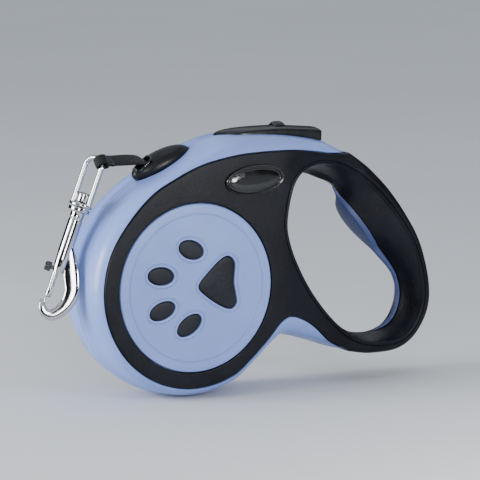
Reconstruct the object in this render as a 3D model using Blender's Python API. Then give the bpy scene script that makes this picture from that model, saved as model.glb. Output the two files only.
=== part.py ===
"""Retractable tape leash for a dog: two casing halves with black side covers that form the handle, a
sprung reel on an arbor, a brake button with its lock slider and pawl, the tape, and a swivel bolt snap.

The model is drawn in millimetres about the reel's axis, X forward to back along the casing, Y through its
thickness, Z up as the leash is held. The empty called frame moves it so that the origin lies in the grip.
"""

import math

import bmesh
import bpy
from mathutils import Matrix, Vector, geometry

MM = 0.001
GRIP = Vector((107.0, 0.0, 14.0))  # middle of the hand's grip bar, seen from the reel's axis

# Casing: heights are distances from the parting plane
GAP = 0.3
PART = 0.15
NOSE_RADIUS = 51.0
RING_RADIUS = 46.3
SHELL_WALL = 2.0
COVER_FACE = 18.5
COVER_THICKNESS = 2.9
COVER_GAP = 0.4
SHELL_FACE = COVER_FACE - COVER_THICKNESS - COVER_GAP
HANDLE_HEIGHT = 12.5
INSERT_HEIGHT = 8.0
LINE_HALF_WIDTH = 1.6
BUMP_HEIGHT = 20.5
BUMP_REACH = 13.0
DISC_RADIUS = 38.3
DISC_PROUD = 0.2
PAW_WEB = 0.7
PAW_PROUD = 0.1

# Reel, wound with 5 m of tape
HUB_RADIUS = 21.0
TAPE_LENGTH = 5000.0
TAPE_WOUND_THICKNESS = 0.6
TAPE_WIDTH = 8.0
TAPE_THICKNESS = 0.8
ROLL_RADIUS = math.sqrt(HUB_RADIUS**2 + TAPE_LENGTH * TAPE_WOUND_THICKNESS / math.pi)
FLANGE_RADIUS = 39.6
TEETH = 24
TOOTH_DEPTH = 2.4
ARBOR_RADIUS = 4.0
SPRING_TURNS = 5

# Tape outside, and the snap that hangs on it
MOUTH = Vector((-15.9, 0.0, 56.0))
NECK = Vector((-34.6, -2.0, 57.9))
NECK_CLEARANCE = 1.4  # room for the fold to turn on the end of the lead
EYE_TOP = Vector((-40.6, 0.0, 59.5))
SNAP_TILT = math.radians(21.2)  # from hanging straight down
SNAP_TURN = math.radians(30.0)  # of the hook's plane about the snap's own axis
EYE_TURN = math.radians(60.0)
EYE_WIRE = 1.2
EYE_BEND = 4.3
BARREL_RADIUS = 3.2
BOLT_RADIUS = 1.4
BOLT_SIDE = -1.0
BOLT_TRAVEL = 6.0

# Brake button
BUTTON_PIVOT = Vector((25.0, 0.0, 62.5))
BUTTON_PROFILE = (  # x, half width, underside z, edge z, crown z
    (19.0, 0.6, 66.4, 67.1, 67.4), (22.5, 3.9, 64.6, 67.5, 68.2), (29.0, 6.9, 64.6, 67.6, 69.0),
    (38.0, 7.5, 64.6, 68.0, 69.3), (50.0, 7.6, 64.4, 68.2, 69.2), (61.0, 7.6, 63.6, 67.5, 68.4),
    (70.5, 7.6, 62.9, 66.6, 67.5), (71.0, 7.4, 62.9, 66.2, 67.0),
)
LOCK_X = 48.6
PAWL_PIVOT = Vector((12.0, 0.0, 54.5))
PAWL_TIP = (27.0, 30.1)
PAWL_TURN = math.radians(3.46)
PIN_RADIUS = 1.0
PIN_LENGTH = 25.6

SCREW_RADIUS = 1.0
SCREW_HEAD_RADIUS = 2.0
RING_SCREW_RADIUS = 42.8
RING_SCREW_ANGLES = (150, 215, 262, 318)
HANDLE_SCREWS = ((90.0, 47.0), (92.0, -36.2))


def material(name, colour, roughness, metallic=0.0):
    made = bpy.data.materials.new(name)
    made.use_nodes = True
    shader = made.node_tree.nodes["Principled BSDF"]
    shader.inputs["Base Color"].default_value = (*colour, 1.0)
    shader.inputs["Roughness"].default_value = roughness
    shader.inputs["Metallic"].default_value = metallic
    return made


def clear():
    for old in list(bpy.data.objects):
        bpy.data.objects.remove(old)


def empty(name, place=(0, 0, 0), parent=None):
    made = bpy.data.objects.new(name, None)
    bpy.context.collection.objects.link(made)
    made.location = Vector(place) * MM
    made.parent = parent
    return made


def node(name, bm, finish, origin=(0, 0, 0), parent=None, smooth=30, cutter=False):
    """An object from a bmesh drawn in millimetres, with its own origin at the given point."""
    bmesh.ops.remove_doubles(bm, verts=bm.verts, dist=1e-4)
    bmesh.ops.recalc_face_normals(bm, faces=bm.faces)
    bmesh.ops.translate(bm, verts=bm.verts, vec=-Vector(origin))
    bmesh.ops.scale(bm, verts=bm.verts, vec=(MM, MM, MM))
    mesh = bpy.data.meshes.new(name)
    bm.to_mesh(mesh)
    bm.free()
    mesh.shade_smooth()
    mesh.set_sharp_from_angle(angle=math.radians(smooth))
    if finish is not None:
        mesh.materials.append(finish)
    made = bpy.data.objects.new(name, mesh)
    bpy.context.collection.objects.link(made)
    made.location = Vector(origin) * MM
    made.parent = parent
    if cutter:
        made.hide_render = True
        made.display_type = "WIRE"
    return made


def boolean(target, other, operation="DIFFERENCE"):
    cut = target.modifiers.new(other.name, "BOOLEAN")
    cut.object = other
    cut.operation = operation
    cut.solver = "EXACT"


def through(points, steps):
    """Points along an open Catmull-Rom curve; each may hold more than two values."""
    ends = [points[0], *points, points[-1]]
    made = []
    for a, b, c, d in zip(ends, ends[1:], ends[2:], ends[3:]):
        for k in range(steps):
            t = k / steps
            weights = (
                (-t + 2 * t**2 - t**3) / 2,
                (2 - 5 * t**2 + 3 * t**3) / 2,
                (t + 4 * t**2 - 3 * t**3) / 2,
                (t**3 - t**2) / 2,
            )
            made.append(tuple(sum(w * q[i] for w, q in zip(weights, (a, b, c, d))) for i in range(len(b))))
    return made + [tuple(float(v) for v in points[-1])]


def loop_through(points, steps):
    """The same curve closed on itself."""
    around = through([points[-1], *points, points[0], points[1]], steps)
    return around[steps : steps * (len(points) + 1)]


def circle(radius, count, centre=(0.0, 0.0), start=0.0):
    turn = 2 * math.pi / count
    return [
        (centre[0] + radius * math.cos(start + k * turn), centre[1] + radius * math.sin(start + k * turn))
        for k in range(count)
    ]


def oval(centre, half_length, half_width, tilt, count):
    c, s = math.cos(math.radians(tilt)), math.sin(math.radians(tilt))
    made = []
    for x, z in circle(1.0, count):
        along, across = x * half_length, z * half_width
        made.append((centre[0] + along * c - across * s, centre[1] + along * s + across * c))
    return made


def ring(bm, points, height):
    """Vertices of one closed loop; the height is one number or one for each point."""
    heights = height if isinstance(height, (list, tuple)) else [height] * len(points)
    return [bm.verts.new((p[0], y, p[1])) for p, y in zip(points, heights)]


def bridge(bm, first, second):
    for k in range(len(first)):
        n = (k + 1) % len(first)
        bm.faces.new((first[k], first[n], second[n], second[k]))


def fill(bm, loops, height, extra=()):
    """A sheet between an outer loop and the loops of its holes, its height a function of x and z."""
    points, edges = [], []
    for points_of_loop in loops:
        base = len(points)
        count = len(points_of_loop)
        points += [Vector((p[0], p[1])) for p in points_of_loop]
        edges += [(base + k, base + (k + 1) % count) for k in range(count)]
    points += [Vector(p) for p in extra]
    found = geometry.delaunay_2d_cdt(points, edges, [], 0, 1e-5)
    verts = [bm.verts.new((p.x, height(p.x, p.y), p.y)) for p in found[0]]
    for face in found[2]:
        middle = sum((found[0][i] for i in face), Vector((0, 0))) / len(face)
        if sum(inside(middle, loop) for loop in loops) == 1:
            bm.faces.new([verts[i] for i in face])


def inside(point, loop):
    odd = False
    for (ax, az), (bx, bz) in zip(loop, loop[1:] + loop[:1]):
        if (az > point.y) != (bz > point.y) and point.x < (bx - ax) * (point.y - az) / (bz - az) + ax:
            odd = not odd
    return odd


def prism(bm, loops, low, high):
    """A plate with holes between two heights."""
    for level in (low, high):
        fill(bm, loops, lambda x, z, level=level: level)
    for points in loops:
        bridge(bm, ring(bm, points, low), ring(bm, points, high))


def turned(profile, segments, axis_point=(0.0, 0.0), closed=True):
    """A solid turned about Y from (radius, height) points; a profile that is open ends on the axis."""
    bm = bmesh.new()
    rings = []
    for radius, height in profile:
        rings.append(ring(bm, circle(radius, segments, axis_point), height))
    for first, second in zip(rings, rings[1:]):
        bridge(bm, first, second)
    if closed:
        bridge(bm, rings[-1], rings[0])
    else:
        bm.faces.new(rings[0])
        bm.faces.new(rings[-1])
    return bm


def sweep(bm, stations, close=False):
    """A solid through a row of cross-sections with equal counts of points."""
    rings = [[bm.verts.new(p) for p in section] for section in stations]
    for first, second in zip(rings, rings[1:]):
        bridge(bm, first, second)
    if close:
        bridge(bm, rings[-1], rings[0])
    else:
        bm.faces.new(rings[0])
        bm.faces.new(rings[-1])


def tube(path, radius, sides, closed=False):
    """Cross-sections of a round bar along a path of 3D points; the radius may vary by station."""
    stations = []
    count = len(path)
    side = None
    for k, point in enumerate(path):
        before = path[(k - 1) % count] if closed or k else path[0]
        after = path[(k + 1) % count] if closed or k < count - 1 else path[-1]
        along = (after - before).normalized()
        if side is None:
            side = along.orthogonal().normalized()
        side = (side - along * side.dot(along)).normalized()
        other = along.cross(side)
        r = radius[k] if isinstance(radius, (list, tuple)) else radius
        turn = [2 * math.pi * j / sides for j in range(sides)]
        stations.append([point + r * (math.cos(t) * side + math.sin(t) * other) for t in turn])
    return stations


def mirrored(bm):
    """The same piece on the other side of the parting plane."""
    other = bm.copy()
    bmesh.ops.scale(other, verts=other.verts, vec=(1, -1, 1))
    bmesh.ops.reverse_faces(other, faces=other.faces)
    return other


# Casing outline: silhouette x, z | edge of the side cover x, z | inner wall x, z | 1 where the shoulder shows
def nose_arc(first, last, count):
    made = []
    for k in range(count):
        a = math.radians(first + (last - first) * k / (count - 1))
        made.append(tuple(r * f(a) for r in (NOSE_RADIUS, RING_RADIUS, NOSE_RADIUS - SHELL_WALL - 1)
                          for f in (math.cos, math.sin)) + (1.0,))
    return made


UNDERSIDE = nose_arc(180, 296, 9) + [
    (32.5, -38.0, 28.5, -35.4, 29.0, -35.0, 1.0),
    (41.5, -30.4, 37.5, -27.0, 38.0, -27.5, 1.0),
    (47.5, -27.3, 45.2, -19.0, 44.0, -22.0, 1.0),
    (55.0, -28.4, 51.3, -17.7, 48.5, -18.0, 1.0),
    (65.8, -31.6, 61.5, -22.6, 51.0, -14.5, 1.0),
    (75.8, -35.2, 72.0, -31.5, 52.3, -11.5, 1.0),
    (84.0, -37.4, 82.0, -36.6, 53.0, -9.0, 0.0),
]
BACK_WALL = [
    (82.0, -33.6, 82.0, -33.6, 52.4, -7.0, 0.0),
    (72.0, -24.2, 72.0, -24.2, 51.0, -4.0, 0.0),
    (61.0, -11.2, 61.0, -11.2, 48.5, 0.0, 0.0),
    (53.2, 0.0, 53.2, 0.0, 46.0, 6.0, 0.0),
    (47.8, 12.0, 47.8, 12.0, 44.0, 14.0, 0.0),
    (44.8, 27.0, 44.8, 27.0, 42.2, 27.0, 0.0),
    (46.4, 42.0, 46.4, 42.0, 43.6, 43.0, 0.0),
    (53.0, 50.6, 53.0, 50.6, 50.0, 53.0, 0.0),
    (64.0, 54.6, 64.0, 54.6, 58.0, 56.8, 0.0),
    (75.0, 54.4, 75.0, 54.4, 64.0, 58.0, 0.0),
]
TOPSIDE = [
    (84.0, 55.6, 82.0, 56.2, 67.0, 59.0, 0.0),
    (77.0, 59.4, 72.0, 56.8, 66.0, 60.0, 1.0),
    (71.0, 62.2, 63.0, 58.3, 64.0, 61.5, 1.0),
    (62.0, 64.4, 52.0, 59.7, 58.0, 62.2, 1.0),
    (49.0, 66.4, 40.0, 60.0, 47.0, 63.6, 1.0),
    (34.0, 67.3, 24.0, 59.4, 34.0, 64.4, 1.0),
    (20.0, 66.6, 10.0, 57.3, 20.5, 63.6, 1.0),
    (5.0, 61.4, 0.0, 54.6, 6.5, 58.4, 1.0),
    (-9.0, 54.4, -11.0, 49.8, -7.6, 51.5, 1.0),
    (-24.0, 46.0, -21.5, 44.0, -22.4, 43.4, 1.0),
    (-36.5, 36.0, -32.0, 34.0, -34.2, 34.0, 1.0),
] + nose_arc(152, 180, 3)

# Handle: outer silhouette from the lower tip of the casing round to the upper one, and the hand's opening
HANDLE_BACK = [
    (84.0, -37.4), (96.9, -39.8), (110.5, -39.2), (120.5, -33.4), (127.6, -21.6),
    (128.6, -8.0), (123.8, 10.6), (116.0, 24.6), (106.0, 37.8), (95.6, 47.8), (84.0, 55.6),
]
OPENING_EDGE = [  # at the parting plane x, z | at the ridge x, z | 1 where the grip insert lies
    (49.6, 30.0, 47.0, 28.0, 0.0), (51.2, 17.0, 49.0, 15.0, 0.0), (58.0, 2.0, 56.0, 0.5, 0.0),
    (67.0, -10.0, 65.0, -12.0, 0.0), (78.0, -21.6, 76.5, -23.8, 0.0), (90.0, -30.0, 89.0, -32.2, 0.0),
    (103.0, -30.2, 103.5, -34.6, 1.0), (112.4, -25.4, 115.5, -31.2, 1.0), (116.2, -15.5, 122.6, -20.0, 1.0),
    (113.6, -4.6, 122.8, -5.0, 1.0), (104.6, 5.6, 117.4, 11.6, 1.0), (95.0, 15.4, 109.0, 24.6, 1.0),
    (86.6, 26.0, 98.6, 36.4, 1.0), (80.4, 37.4, 86.6, 45.8, 1.0), (72.4, 43.8, 75.4, 50.8, 0.0),
    (62.0, 46.6, 62.4, 51.8, 0.0), (53.4, 42.0, 51.8, 45.4, 0.0),
]


def casing_outline():
    """The closed outline, and the places in it of the casing's two tips on the handle."""
    around = through(TOPSIDE + UNDERSIDE[1:], 3)
    back = through(BACK_WALL, 2)
    nose = 3 * (len(TOPSIDE) - 1)
    top, under = around[:nose], around[nose:]
    return under + back + top, len(under) - 1, len(under) + len(back)


def toward(a, b, share):
    return tuple(p + (q - p) * share for p, q in zip(a, b))


def offset(points, distances, closed=True):
    """Each point moved outwards, the outline running anticlockwise seen from the front."""
    count = len(points)
    distances = distances if isinstance(distances, list) else [distances] * count
    made = []
    for k, point in enumerate(points):
        before = next(points[(k - n) % count] for n in (1, 2) if points[(k - n) % count] != point)
        after = next(points[(k + n) % count] for n in (1, 2) if points[(k + n) % count] != point)
        if not closed:
            before = before if k else point
            after = after if k < count - 1 else point
        along = Vector((after[0] - before[0], after[1] - before[1])).normalized()
        made.append((point[0] + along.y * distances[k], point[1] - along.x * distances[k]))
    return made


def cover_height(x, z):
    """The side cover's face falls from the body's thickness to the handle's."""
    t = min(1.0, max(0.0, (x - 44.0) / 42.0))
    return COVER_FACE - (COVER_FACE - HANDLE_HEIGHT) * t * t * (3 - 2 * t)


def seat_height(x, z):
    """The casing's recessed face, which the side cover lies on."""
    return cover_height(x, z) - COVER_THICKNESS - COVER_GAP


def transition(loops):
    """Points that let a sheet follow the fall in height between body and handle."""
    made = []
    for i in range(7):
        for j in range(-5, 9):
            point = Vector((46.5 + 6.5 * i, 7.0 * j + 3.5 * (i % 2)))
            near = min((Vector(p) - point).length for loop in loops for p in loop)
            if near > 2.2 and sum(inside(point, loop) for loop in loops) == 1:
                made.append(point)
    return made


def shell(bm):
    """One half of the blue casing: band, shoulder, recessed face and inner cavity, drawn on +Y."""
    outline, _, _ = casing_outline()
    silhouette = [p[0:2] for p in outline]
    edge = [p[2:4] for p in outline]
    inner = [p[4:6] for p in outline]

    def level(below_seat, share):
        made = []
        for p in outline:
            shown = cover_height(*p[2:4]) * share
            plain = seat_height(*p[2:4]) - below_seat
            made.append(plain + (shown - plain) * p[6])
        return made

    recess = offset(edge, -0.15)
    steps = [
        (inner, [seat_height(*p) - SHELL_WALL for p in inner]),
        (inner, PART),
        (silhouette, PART),
        (silhouette, level(3.0, 0.40)),
        ([toward(s, f, 0.14) for s, f in zip(silhouette, edge)], level(2.0, 0.68)),
        ([toward(s, f, 0.48) for s, f in zip(silhouette, edge)], level(1.2, 0.87)),
        (edge, level(0.5, 0.972)),
        (recess, [seat_height(*p) for p in recess]),
    ]
    rings = [ring(bm, points, height) for points, height in steps]
    for first, second in zip(rings, rings[1:]):
        bridge(bm, first, second)
    fill(bm, [inner], lambda x, z: seat_height(x, z) - SHELL_WALL, transition([inner]))
    fill(bm, [recess], seat_height, transition([recess]))


def case_cover(bm):
    """Half of the black side: a skin round the disc on the casing, and half of the handle, on +Y."""
    outline, low_tip, high_tip = casing_outline()
    back = through(HANDLE_BACK, 3)
    wall = offset([p[0:2] for p in outline[low_tip : high_tip + 1]], 1.0, closed=False)[1:-1]
    skin = offset([p[2:4] for p in outline[high_tip + 1 :] + outline[:low_tip]], -0.5, closed=False)
    skin = [back[-1], *skin, back[0]]
    mouth = loop_through(OPENING_EDGE, 3)
    opening = [p[0:2] for p in mouth]
    ridge = [p[2:4] for p in mouth]
    seat = [toward(o, r, 0.22 * s) for o, r, s in zip(opening, ridge, [min(1, max(0, p[4])) for p in mouth])]
    disc = circle(DISC_RADIUS + COVER_GAP, 36)

    def underside(x, z):
        return cover_height(x, z) - COVER_THICKNESS

    # The outer loop's rim: its under edge, its rounding and the edge of its face
    handle = [0.0] * len(skin) + [1.0] * len(back)
    outer = skin + back
    face_edge = offset(outer, [-0.4 - 2.8 * w for w in handle])
    rounding = offset(outer, [-0.9 * w for w in handle])
    steps = [
        (outer, [PART if w else underside(*p) for p, w in zip(outer, handle)]),
        (rounding, [cover_height(*p) * 0.72 if w else cover_height(*p) - 0.5 for p, w in zip(outer, handle)]),
        (face_edge, [cover_height(*p) for p in face_edge]),
    ]
    rings = [ring(bm, points, height) for points, height in steps]
    for a, b in zip(rings, rings[1:]):
        bridge(bm, a, b)

    # The hand's opening: the insert's seat and step, the slope and the ridge
    step = [insert_half_width(p[1]) for p in opening]
    crest = [cover_height(*p) for p in ridge]
    steps = [
        (seat, PART),
        (seat, step),
        ([toward(o, r, 0.30) for o, r in zip(opening, ridge)],
         [h + 0.15 * (t - h) for h, t in zip(step, crest)]),
        ([toward(o, r, 0.85) for o, r in zip(opening, ridge)], [t - 1.2 for t in crest]),
        (ridge, crest),
    ]
    rings = [ring(bm, points, height) for points, height in steps]
    for a, b in zip(rings, rings[1:]):
        bridge(bm, a, b)
    bridge(bm, ring(bm, disc, underside(0, 0)), ring(bm, disc, COVER_FACE))

    fill(bm, [face_edge, ridge, disc], cover_height, transition([face_edge, ridge, disc]))
    fill(bm, [skin + wall, disc], underside, transition([skin + wall, disc]))
    fill(bm, [back + wall[::-1], seat], lambda x, z: PART)
    edge = [back[0], *wall, back[-1]]
    for a, b in zip(edge, edge[1:]):
        corners = [(a[0], PART, a[1]), (b[0], PART, b[1]),
                   (b[0], underside(*b), b[1]), (a[0], underside(*a), a[1])]
        bm.faces.new([bm.verts.new(c) for c in corners])


def insert_half_width(z):
    """The insert is widest at the fingers' bump and a narrow line elsewhere round the grip."""
    bump = max(0.0, 1.0 - ((z - BUMP_HEIGHT) / BUMP_REACH) ** 2)
    return LINE_HALF_WIDTH + (INSERT_HEIGHT - LINE_HALF_WIDTH) * bump


def grip_insert(bm):
    """The soft pad along the inside of the grip: a crowned band across both halves of the handle."""
    mouth = loop_through(OPENING_EDGE, 3)
    run = [p for p in mouth if p[4] > 0.95]
    stations = []
    for p in run:
        half = insert_half_width(p[1]) - GAP
        reach = math.dist(p[0:2], p[2:4])
        seat = toward(p[0:2], p[2:4], 0.22 - COVER_GAP / reach)
        crown = toward(p[0:2], p[2:4], 0.02)
        edge = toward(p[0:2], p[2:4], 0.10)
        section = [(seat, -half), (edge, -half), (crown, -0.5 * half),
                   (crown, 0.5 * half), (edge, half), (seat, half)]
        stations.append([(q[0], y, q[1]) for q, y in section])
    sweep(bm, stations)


TOES = (((-2.7, 17.6), 6.4, 4.0, -20), ((-18.0, 6.7), 6.5, 3.9, -7),
        ((-17.3, -9.1), 6.5, 3.8, 18), ((-3.7, -16.7), 6.7, 3.9, 32))
HEEL = [(1.2, 0.6), (6.0, 6.6), (12.6, 12.2), (16.6, 13.2), (19.4, 10.2), (19.2, 4.6),
        (19.0, 1.0), (19.8, -3.2), (20.4, -8.2), (17.6, -10.6), (12.4, -8.8), (5.4, -4.2)]


def pads(grow, flip):
    """The outlines of the paw's five pads, grown by a clearance; the back's are seen from behind."""
    made = [oval(c, a + grow, b + grow, t, 12) for c, a, b, t in TOES]
    made.append(offset([p for p in loop_through(HEEL, 2)][::-1], grow))
    return [[(-x, z) for x, z in points] for points in made] if flip else made


def disc_cover(bm, flip):
    """The round cover with windows for the paw, hollowed behind for the paw's web."""
    outer = circle(DISC_RADIUS, 36)
    hollow = circle(DISC_RADIUS - 4.0, 24)
    windows = pads(GAP, flip)
    base, roof, top = SHELL_FACE + GAP, SHELL_FACE + 2 * GAP + PAW_WEB, COVER_FACE + DISC_PROUD
    fill(bm, [outer, hollow], lambda x, z: base)
    fill(bm, [hollow, *windows], lambda x, z: roof)
    fill(bm, [outer, *windows], lambda x, z: top)
    bridge(bm, ring(bm, outer, base), ring(bm, outer, top))
    bridge(bm, ring(bm, hollow, base), ring(bm, hollow, roof))
    for window in windows:
        bridge(bm, ring(bm, window, roof), ring(bm, window, top))


def paw_plate(bm, flip):
    """The five pads on their common web, behind the disc cover."""
    web = circle(DISC_RADIUS - 4.6, 24)
    outlines = pads(0.0, flip)
    base, roof = SHELL_FACE + GAP, SHELL_FACE + GAP + PAW_WEB
    fill(bm, [web], lambda x, z: base)
    fill(bm, [web, *outlines], lambda x, z: roof)
    bridge(bm, ring(bm, web, base), ring(bm, web, roof))
    for outline in outlines:
        fill(bm, [outline], lambda x, z: COVER_FACE + PAW_PROUD)
        bridge(bm, ring(bm, outline, roof), ring(bm, outline, COVER_FACE + PAW_PROUD))


def badge(bm):
    """The blank oval plate on the side cover, domed by one step."""
    rim, edge, dome = (ring(bm, oval((29.6, 47.4), *half, 4, 24), COVER_FACE + height)
                       for half, height in (((15.0, 6.8), GAP), ((15.0, 6.8), 0.8), ((12.0, 4.6), 1.3)))
    bridge(bm, rim, edge)
    bridge(bm, edge, dome)
    bm.faces.new(rim)
    bm.faces.new(dome)


def ellipsoid(centre, semi, tilt, rings=8, segments=18):
    bm = bmesh.new()
    bmesh.ops.create_uvsphere(bm, u_segments=segments, v_segments=rings, radius=1.0)
    bmesh.ops.scale(bm, verts=bm.verts, vec=semi)
    place = Matrix.Translation(centre) @ Matrix.Rotation(math.radians(-tilt), 4, "Y")
    bmesh.ops.transform(bm, matrix=place, verts=bm.verts)
    return bm


def box(low, high, turn=None):
    bm = bmesh.new()
    bmesh.ops.create_cube(bm, size=1.0)
    bmesh.ops.scale(bm, verts=bm.verts, vec=Vector(high) - Vector(low))
    bmesh.ops.translate(bm, verts=bm.verts, vec=(Vector(high) + Vector(low)) / 2)
    if turn is not None:
        bmesh.ops.transform(bm, matrix=turn, verts=bm.verts)
    return bm


def roll_tangent():
    """Where the tape leaves the roll for the mouth, with its direction there."""
    radius = ROLL_RADIUS + GAP + TAPE_THICKNESS / 2
    reach = math.hypot(MOUTH.x, MOUTH.z)
    angle = math.atan2(MOUTH.z, MOUTH.x) - math.acos(radius / reach)
    start = Vector((radius * math.cos(angle), 0.0, radius * math.sin(angle)))
    return start, (MOUTH - start).normalized()


# Reel

def reel_drum():
    """Hub and back flange, with the wall of the spring's chamber behind it."""
    return turned([
        (ARBOR_RADIUS + GAP, -6.0), (HUB_RADIUS, -6.0), (HUB_RADIUS, 5.0), (FLANGE_RADIUS, 5.0),
        (FLANGE_RADIUS, 6.6), (31.0, 6.6), (31.0, 10.6), (29.6, 10.6), (29.6, 6.6), (ARBOR_RADIUS + GAP, 6.6),
    ], 28)


def ratchet_flange(bm):
    """The front flange, whose rim is the ring of brake teeth; one gap meets the lowered pawl."""
    lowered = Matrix.Rotation(PAWL_TURN, 3, "Y") @ (Vector((PAWL_TIP[0], 0, PAWL_TIP[1])) - PAWL_PIVOT)
    lowered += PAWL_PIVOT
    pitch = 2 * math.pi / TEETH
    phase = math.atan2(lowered.z, lowered.x) - 0.93 * pitch
    root = FLANGE_RADIUS - TOOTH_DEPTH
    outline = []
    for k in range(TEETH):
        for radius, share in ((root, 0.08), (FLANGE_RADIUS, 0.20), (FLANGE_RADIUS, 0.44), (root, 0.92)):
            a = phase + (k + share) * pitch
            outline.append((radius * math.cos(a), radius * math.sin(a)))
    prism(bm, [outline, circle(ARBOR_RADIUS + GAP, 16)], -7.9, -6.3)


def power_spring(bm):
    """A strip wound in the chamber from near the arbor to its wall."""
    inner, outer, strip, count = ARBOR_RADIUS + 2.0, 28.6, 0.9, SPRING_TURNS * 14
    side = []
    for k in range(count + 1):
        a = 2 * math.pi * k / 14
        side.append((inner + (outer - inner) * k / count, a))
    path = [(r * math.cos(a), r * math.sin(a)) for r, a in side]
    back = [((r - strip) * math.cos(a), (r - strip) * math.sin(a)) for r, a in reversed(side)]
    prism(bm, [path + back], 7.0, 10.2)


# Brake

def brake_button(bm):
    """The long rocker on the top of the casing, pointed at its front end."""
    stations = []
    for x, half, low, edge, crown in BUTTON_PROFILE:
        stations.append([(x, -half, low), (x, half, low), (x, half, edge), (x, 0.6 * half, crown - 0.25),
                         (x, 0.0, crown), (x, -0.6 * half, crown - 0.25), (x, -half, edge)])
    sweep(bm, stations)


def button_pocket(bm):
    """The opening in the casing that the button sinks into."""
    stations = []
    for x, half, low, edge, crown in BUTTON_PROFILE:
        end = 0.5 if x > 70.6 else -0.5 if x < 19.5 else 0.0
        stations.append([(x + end, y, z) for y, z in
                         ((-half - 0.4, 58.0), (half + 0.4, 58.0), (half + 0.4, 74.0), (-half - 0.4, 74.0))])
    sweep(bm, stations)


def brake_pawl(bm):
    """The lever that the button's stem pushes, with the tooth that drops into the ratchet flange."""
    x, z = PAWL_TIP
    outline = [(9.2, 54.5), (10.2, 56.8), (13.0, 57.4), (48.0, 57.0), (48.6, 55.2), (36.0, 53.6),
               (31.4, 50.0), (x + 1.5, z + 1.9), (x + 0.6, z + 0.1), (x - 1.0, z + 1.0), (x - 0.6, z + 4.0),
               (26.0, 49.4), (22.0, 52.6), (13.4, 51.8), (10.2, 52.2)]
    bore = circle(PIN_RADIUS + GAP, 12, (PAWL_PIVOT.x, PAWL_PIVOT.z))
    prism(bm, [outline, bore], -7.9, -6.3)


def lock_slider():
    return box((LOCK_X, -3.0, 69.8), (LOCK_X + 6.0, 3.0, 71.0))


# Snap: a frame at the eye's top, down along the snap, side across it in a plane turned about its length

def snap_frame(turn):
    down = Vector((-math.sin(SNAP_TILT), 0.0, -math.cos(SNAP_TILT)))
    across = Vector((math.cos(SNAP_TILT), 0.0, -math.sin(SNAP_TILT)))
    side = math.cos(turn) * across - math.sin(turn) * Vector((0.0, 1.0, 0.0))
    return down, side, down.cross(side)


def on_snap(side_way, down_way, turn, lift=0.0):
    down, side, normal = snap_frame(turn)
    return EYE_TOP + down * down_way + side * side_way + normal * lift


def along_snap(profile, centre_side, turn, segments):
    """A round piece whose length runs down the snap, from (down, radius) pairs."""
    down, side, normal = snap_frame(turn)
    bm = bmesh.new()
    stations = []
    for way, radius in profile:
        middle = EYE_TOP + down * way + side * centre_side
        stations.append([middle + radius * (math.cos(t) * side + math.sin(t) * normal)
                         for t in [2 * math.pi * k / segments for k in range(segments)]])
    sweep(bm, stations)
    return bm


def washer(centre, axis, inner, outer, length, segments):
    """A plain ring about any axis."""
    side = axis.orthogonal().normalized()
    other = axis.cross(side)
    bm = bmesh.new()
    stations = []
    for k in range(segments):
        a = 2 * math.pi * k / segments
        out = math.cos(a) * side + math.sin(a) * other
        stations.append([centre + out * r + axis * y for r, y in
                         ((inner, 0.0), (outer, 0.0), (outer, length), (inner, length))])
    sweep(bm, stations, close=True)
    return bm


def swivel_eye():
    """The wire loop that the tape goes through."""
    path = [on_snap(EYE_BEND * math.cos(a), EYE_BEND - EYE_BEND * math.sin(a), EYE_TURN)
            for a in [math.pi * k / 8 for k in range(9)]]
    foot = 22.6
    path = [on_snap(EYE_BEND, foot, EYE_TURN), on_snap(EYE_BEND, foot / 2, EYE_TURN), *path,
            on_snap(-EYE_BEND, foot / 2, EYE_TURN), on_snap(-EYE_BEND, foot, EYE_TURN)]
    bm = bmesh.new()
    sweep(bm, tube(path, EYE_WIRE, 8))
    return bm


def tape_stations():
    """Middle points of the tape from the roll to the neck, with its tilt across the width at each."""
    start, along = roll_tangent()
    start = start + along * 0.4
    inside_run = [start + (MOUTH - start) * share for share in (0.0, 0.35, 0.7, 0.9)]
    bend = [(MOUTH.x - 1.2, 0.0, MOUTH.z + 0.55), (-18.4, -0.1, 57.1), (-21.0, -0.4, 57.5),
            (-25.0, -0.9, 57.7), (-30.0, -1.5, 57.8), (NECK.x + NECK_CLEARANCE, NECK.y, NECK.z)]
    tilts = [0, 0, 0, 0, 2, 6, 12, 20, 27, 32]
    return [Vector(p) for p in inside_run + bend], [math.radians(t) for t in tilts]


def ribbon(bm, route, tilts, half_widths, thickness):
    stations = []
    for k, point in enumerate(route):
        along = (route[min(k + 1, len(route) - 1)] - route[max(k - 1, 0)]).normalized()
        across = Vector((0.0, math.cos(tilts[k]), math.sin(tilts[k])))
        across = (across - along * across.dot(along)).normalized()
        normal = along.cross(across)
        w, t = half_widths[k], thickness / 2
        stations.append([point + across * a + normal * b for a, b in ((-w, -t), (w, -t), (w, t), (-w, t))])
    sweep(bm, stations)


def hook_outline():
    """Centre line of the hook's bow, and its half width in its plane."""
    return through([
        (1.4, 42.0, 1.6), (3.6, 47.5, 2.3), (6.9, 53.5, 2.6), (8.6, 60.0, 2.5), (7.4, 66.5, 2.3),
        (4.0, 71.2, 2.0), (0.2, 71.8, 1.6), (-1.9, 69.4, 1.3), (-2.1, 67.4, 1.1),
    ], 3)


def hook_bow():
    down, side, normal = snap_frame(SNAP_TURN)
    run = hook_outline()
    stations = []
    for k, (across, way, half) in enumerate(run):
        a, b = run[max(k - 1, 0)], run[min(k + 1, len(run) - 1)]
        along = Vector((b[0] - a[0], b[1] - a[1])).normalized()
        out = (side * along.y - down * along.x).normalized()
        middle = on_snap(across, way, SNAP_TURN)
        thick = min(2.1, half + 0.4)
        stations.append([middle + out * half * math.cos(t) + normal * thick * math.sin(t)
                         for t in [2 * math.pi * j / 10 for j in range(10)]])
    bm = bmesh.new()
    sweep(bm, stations)
    return bm


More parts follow.
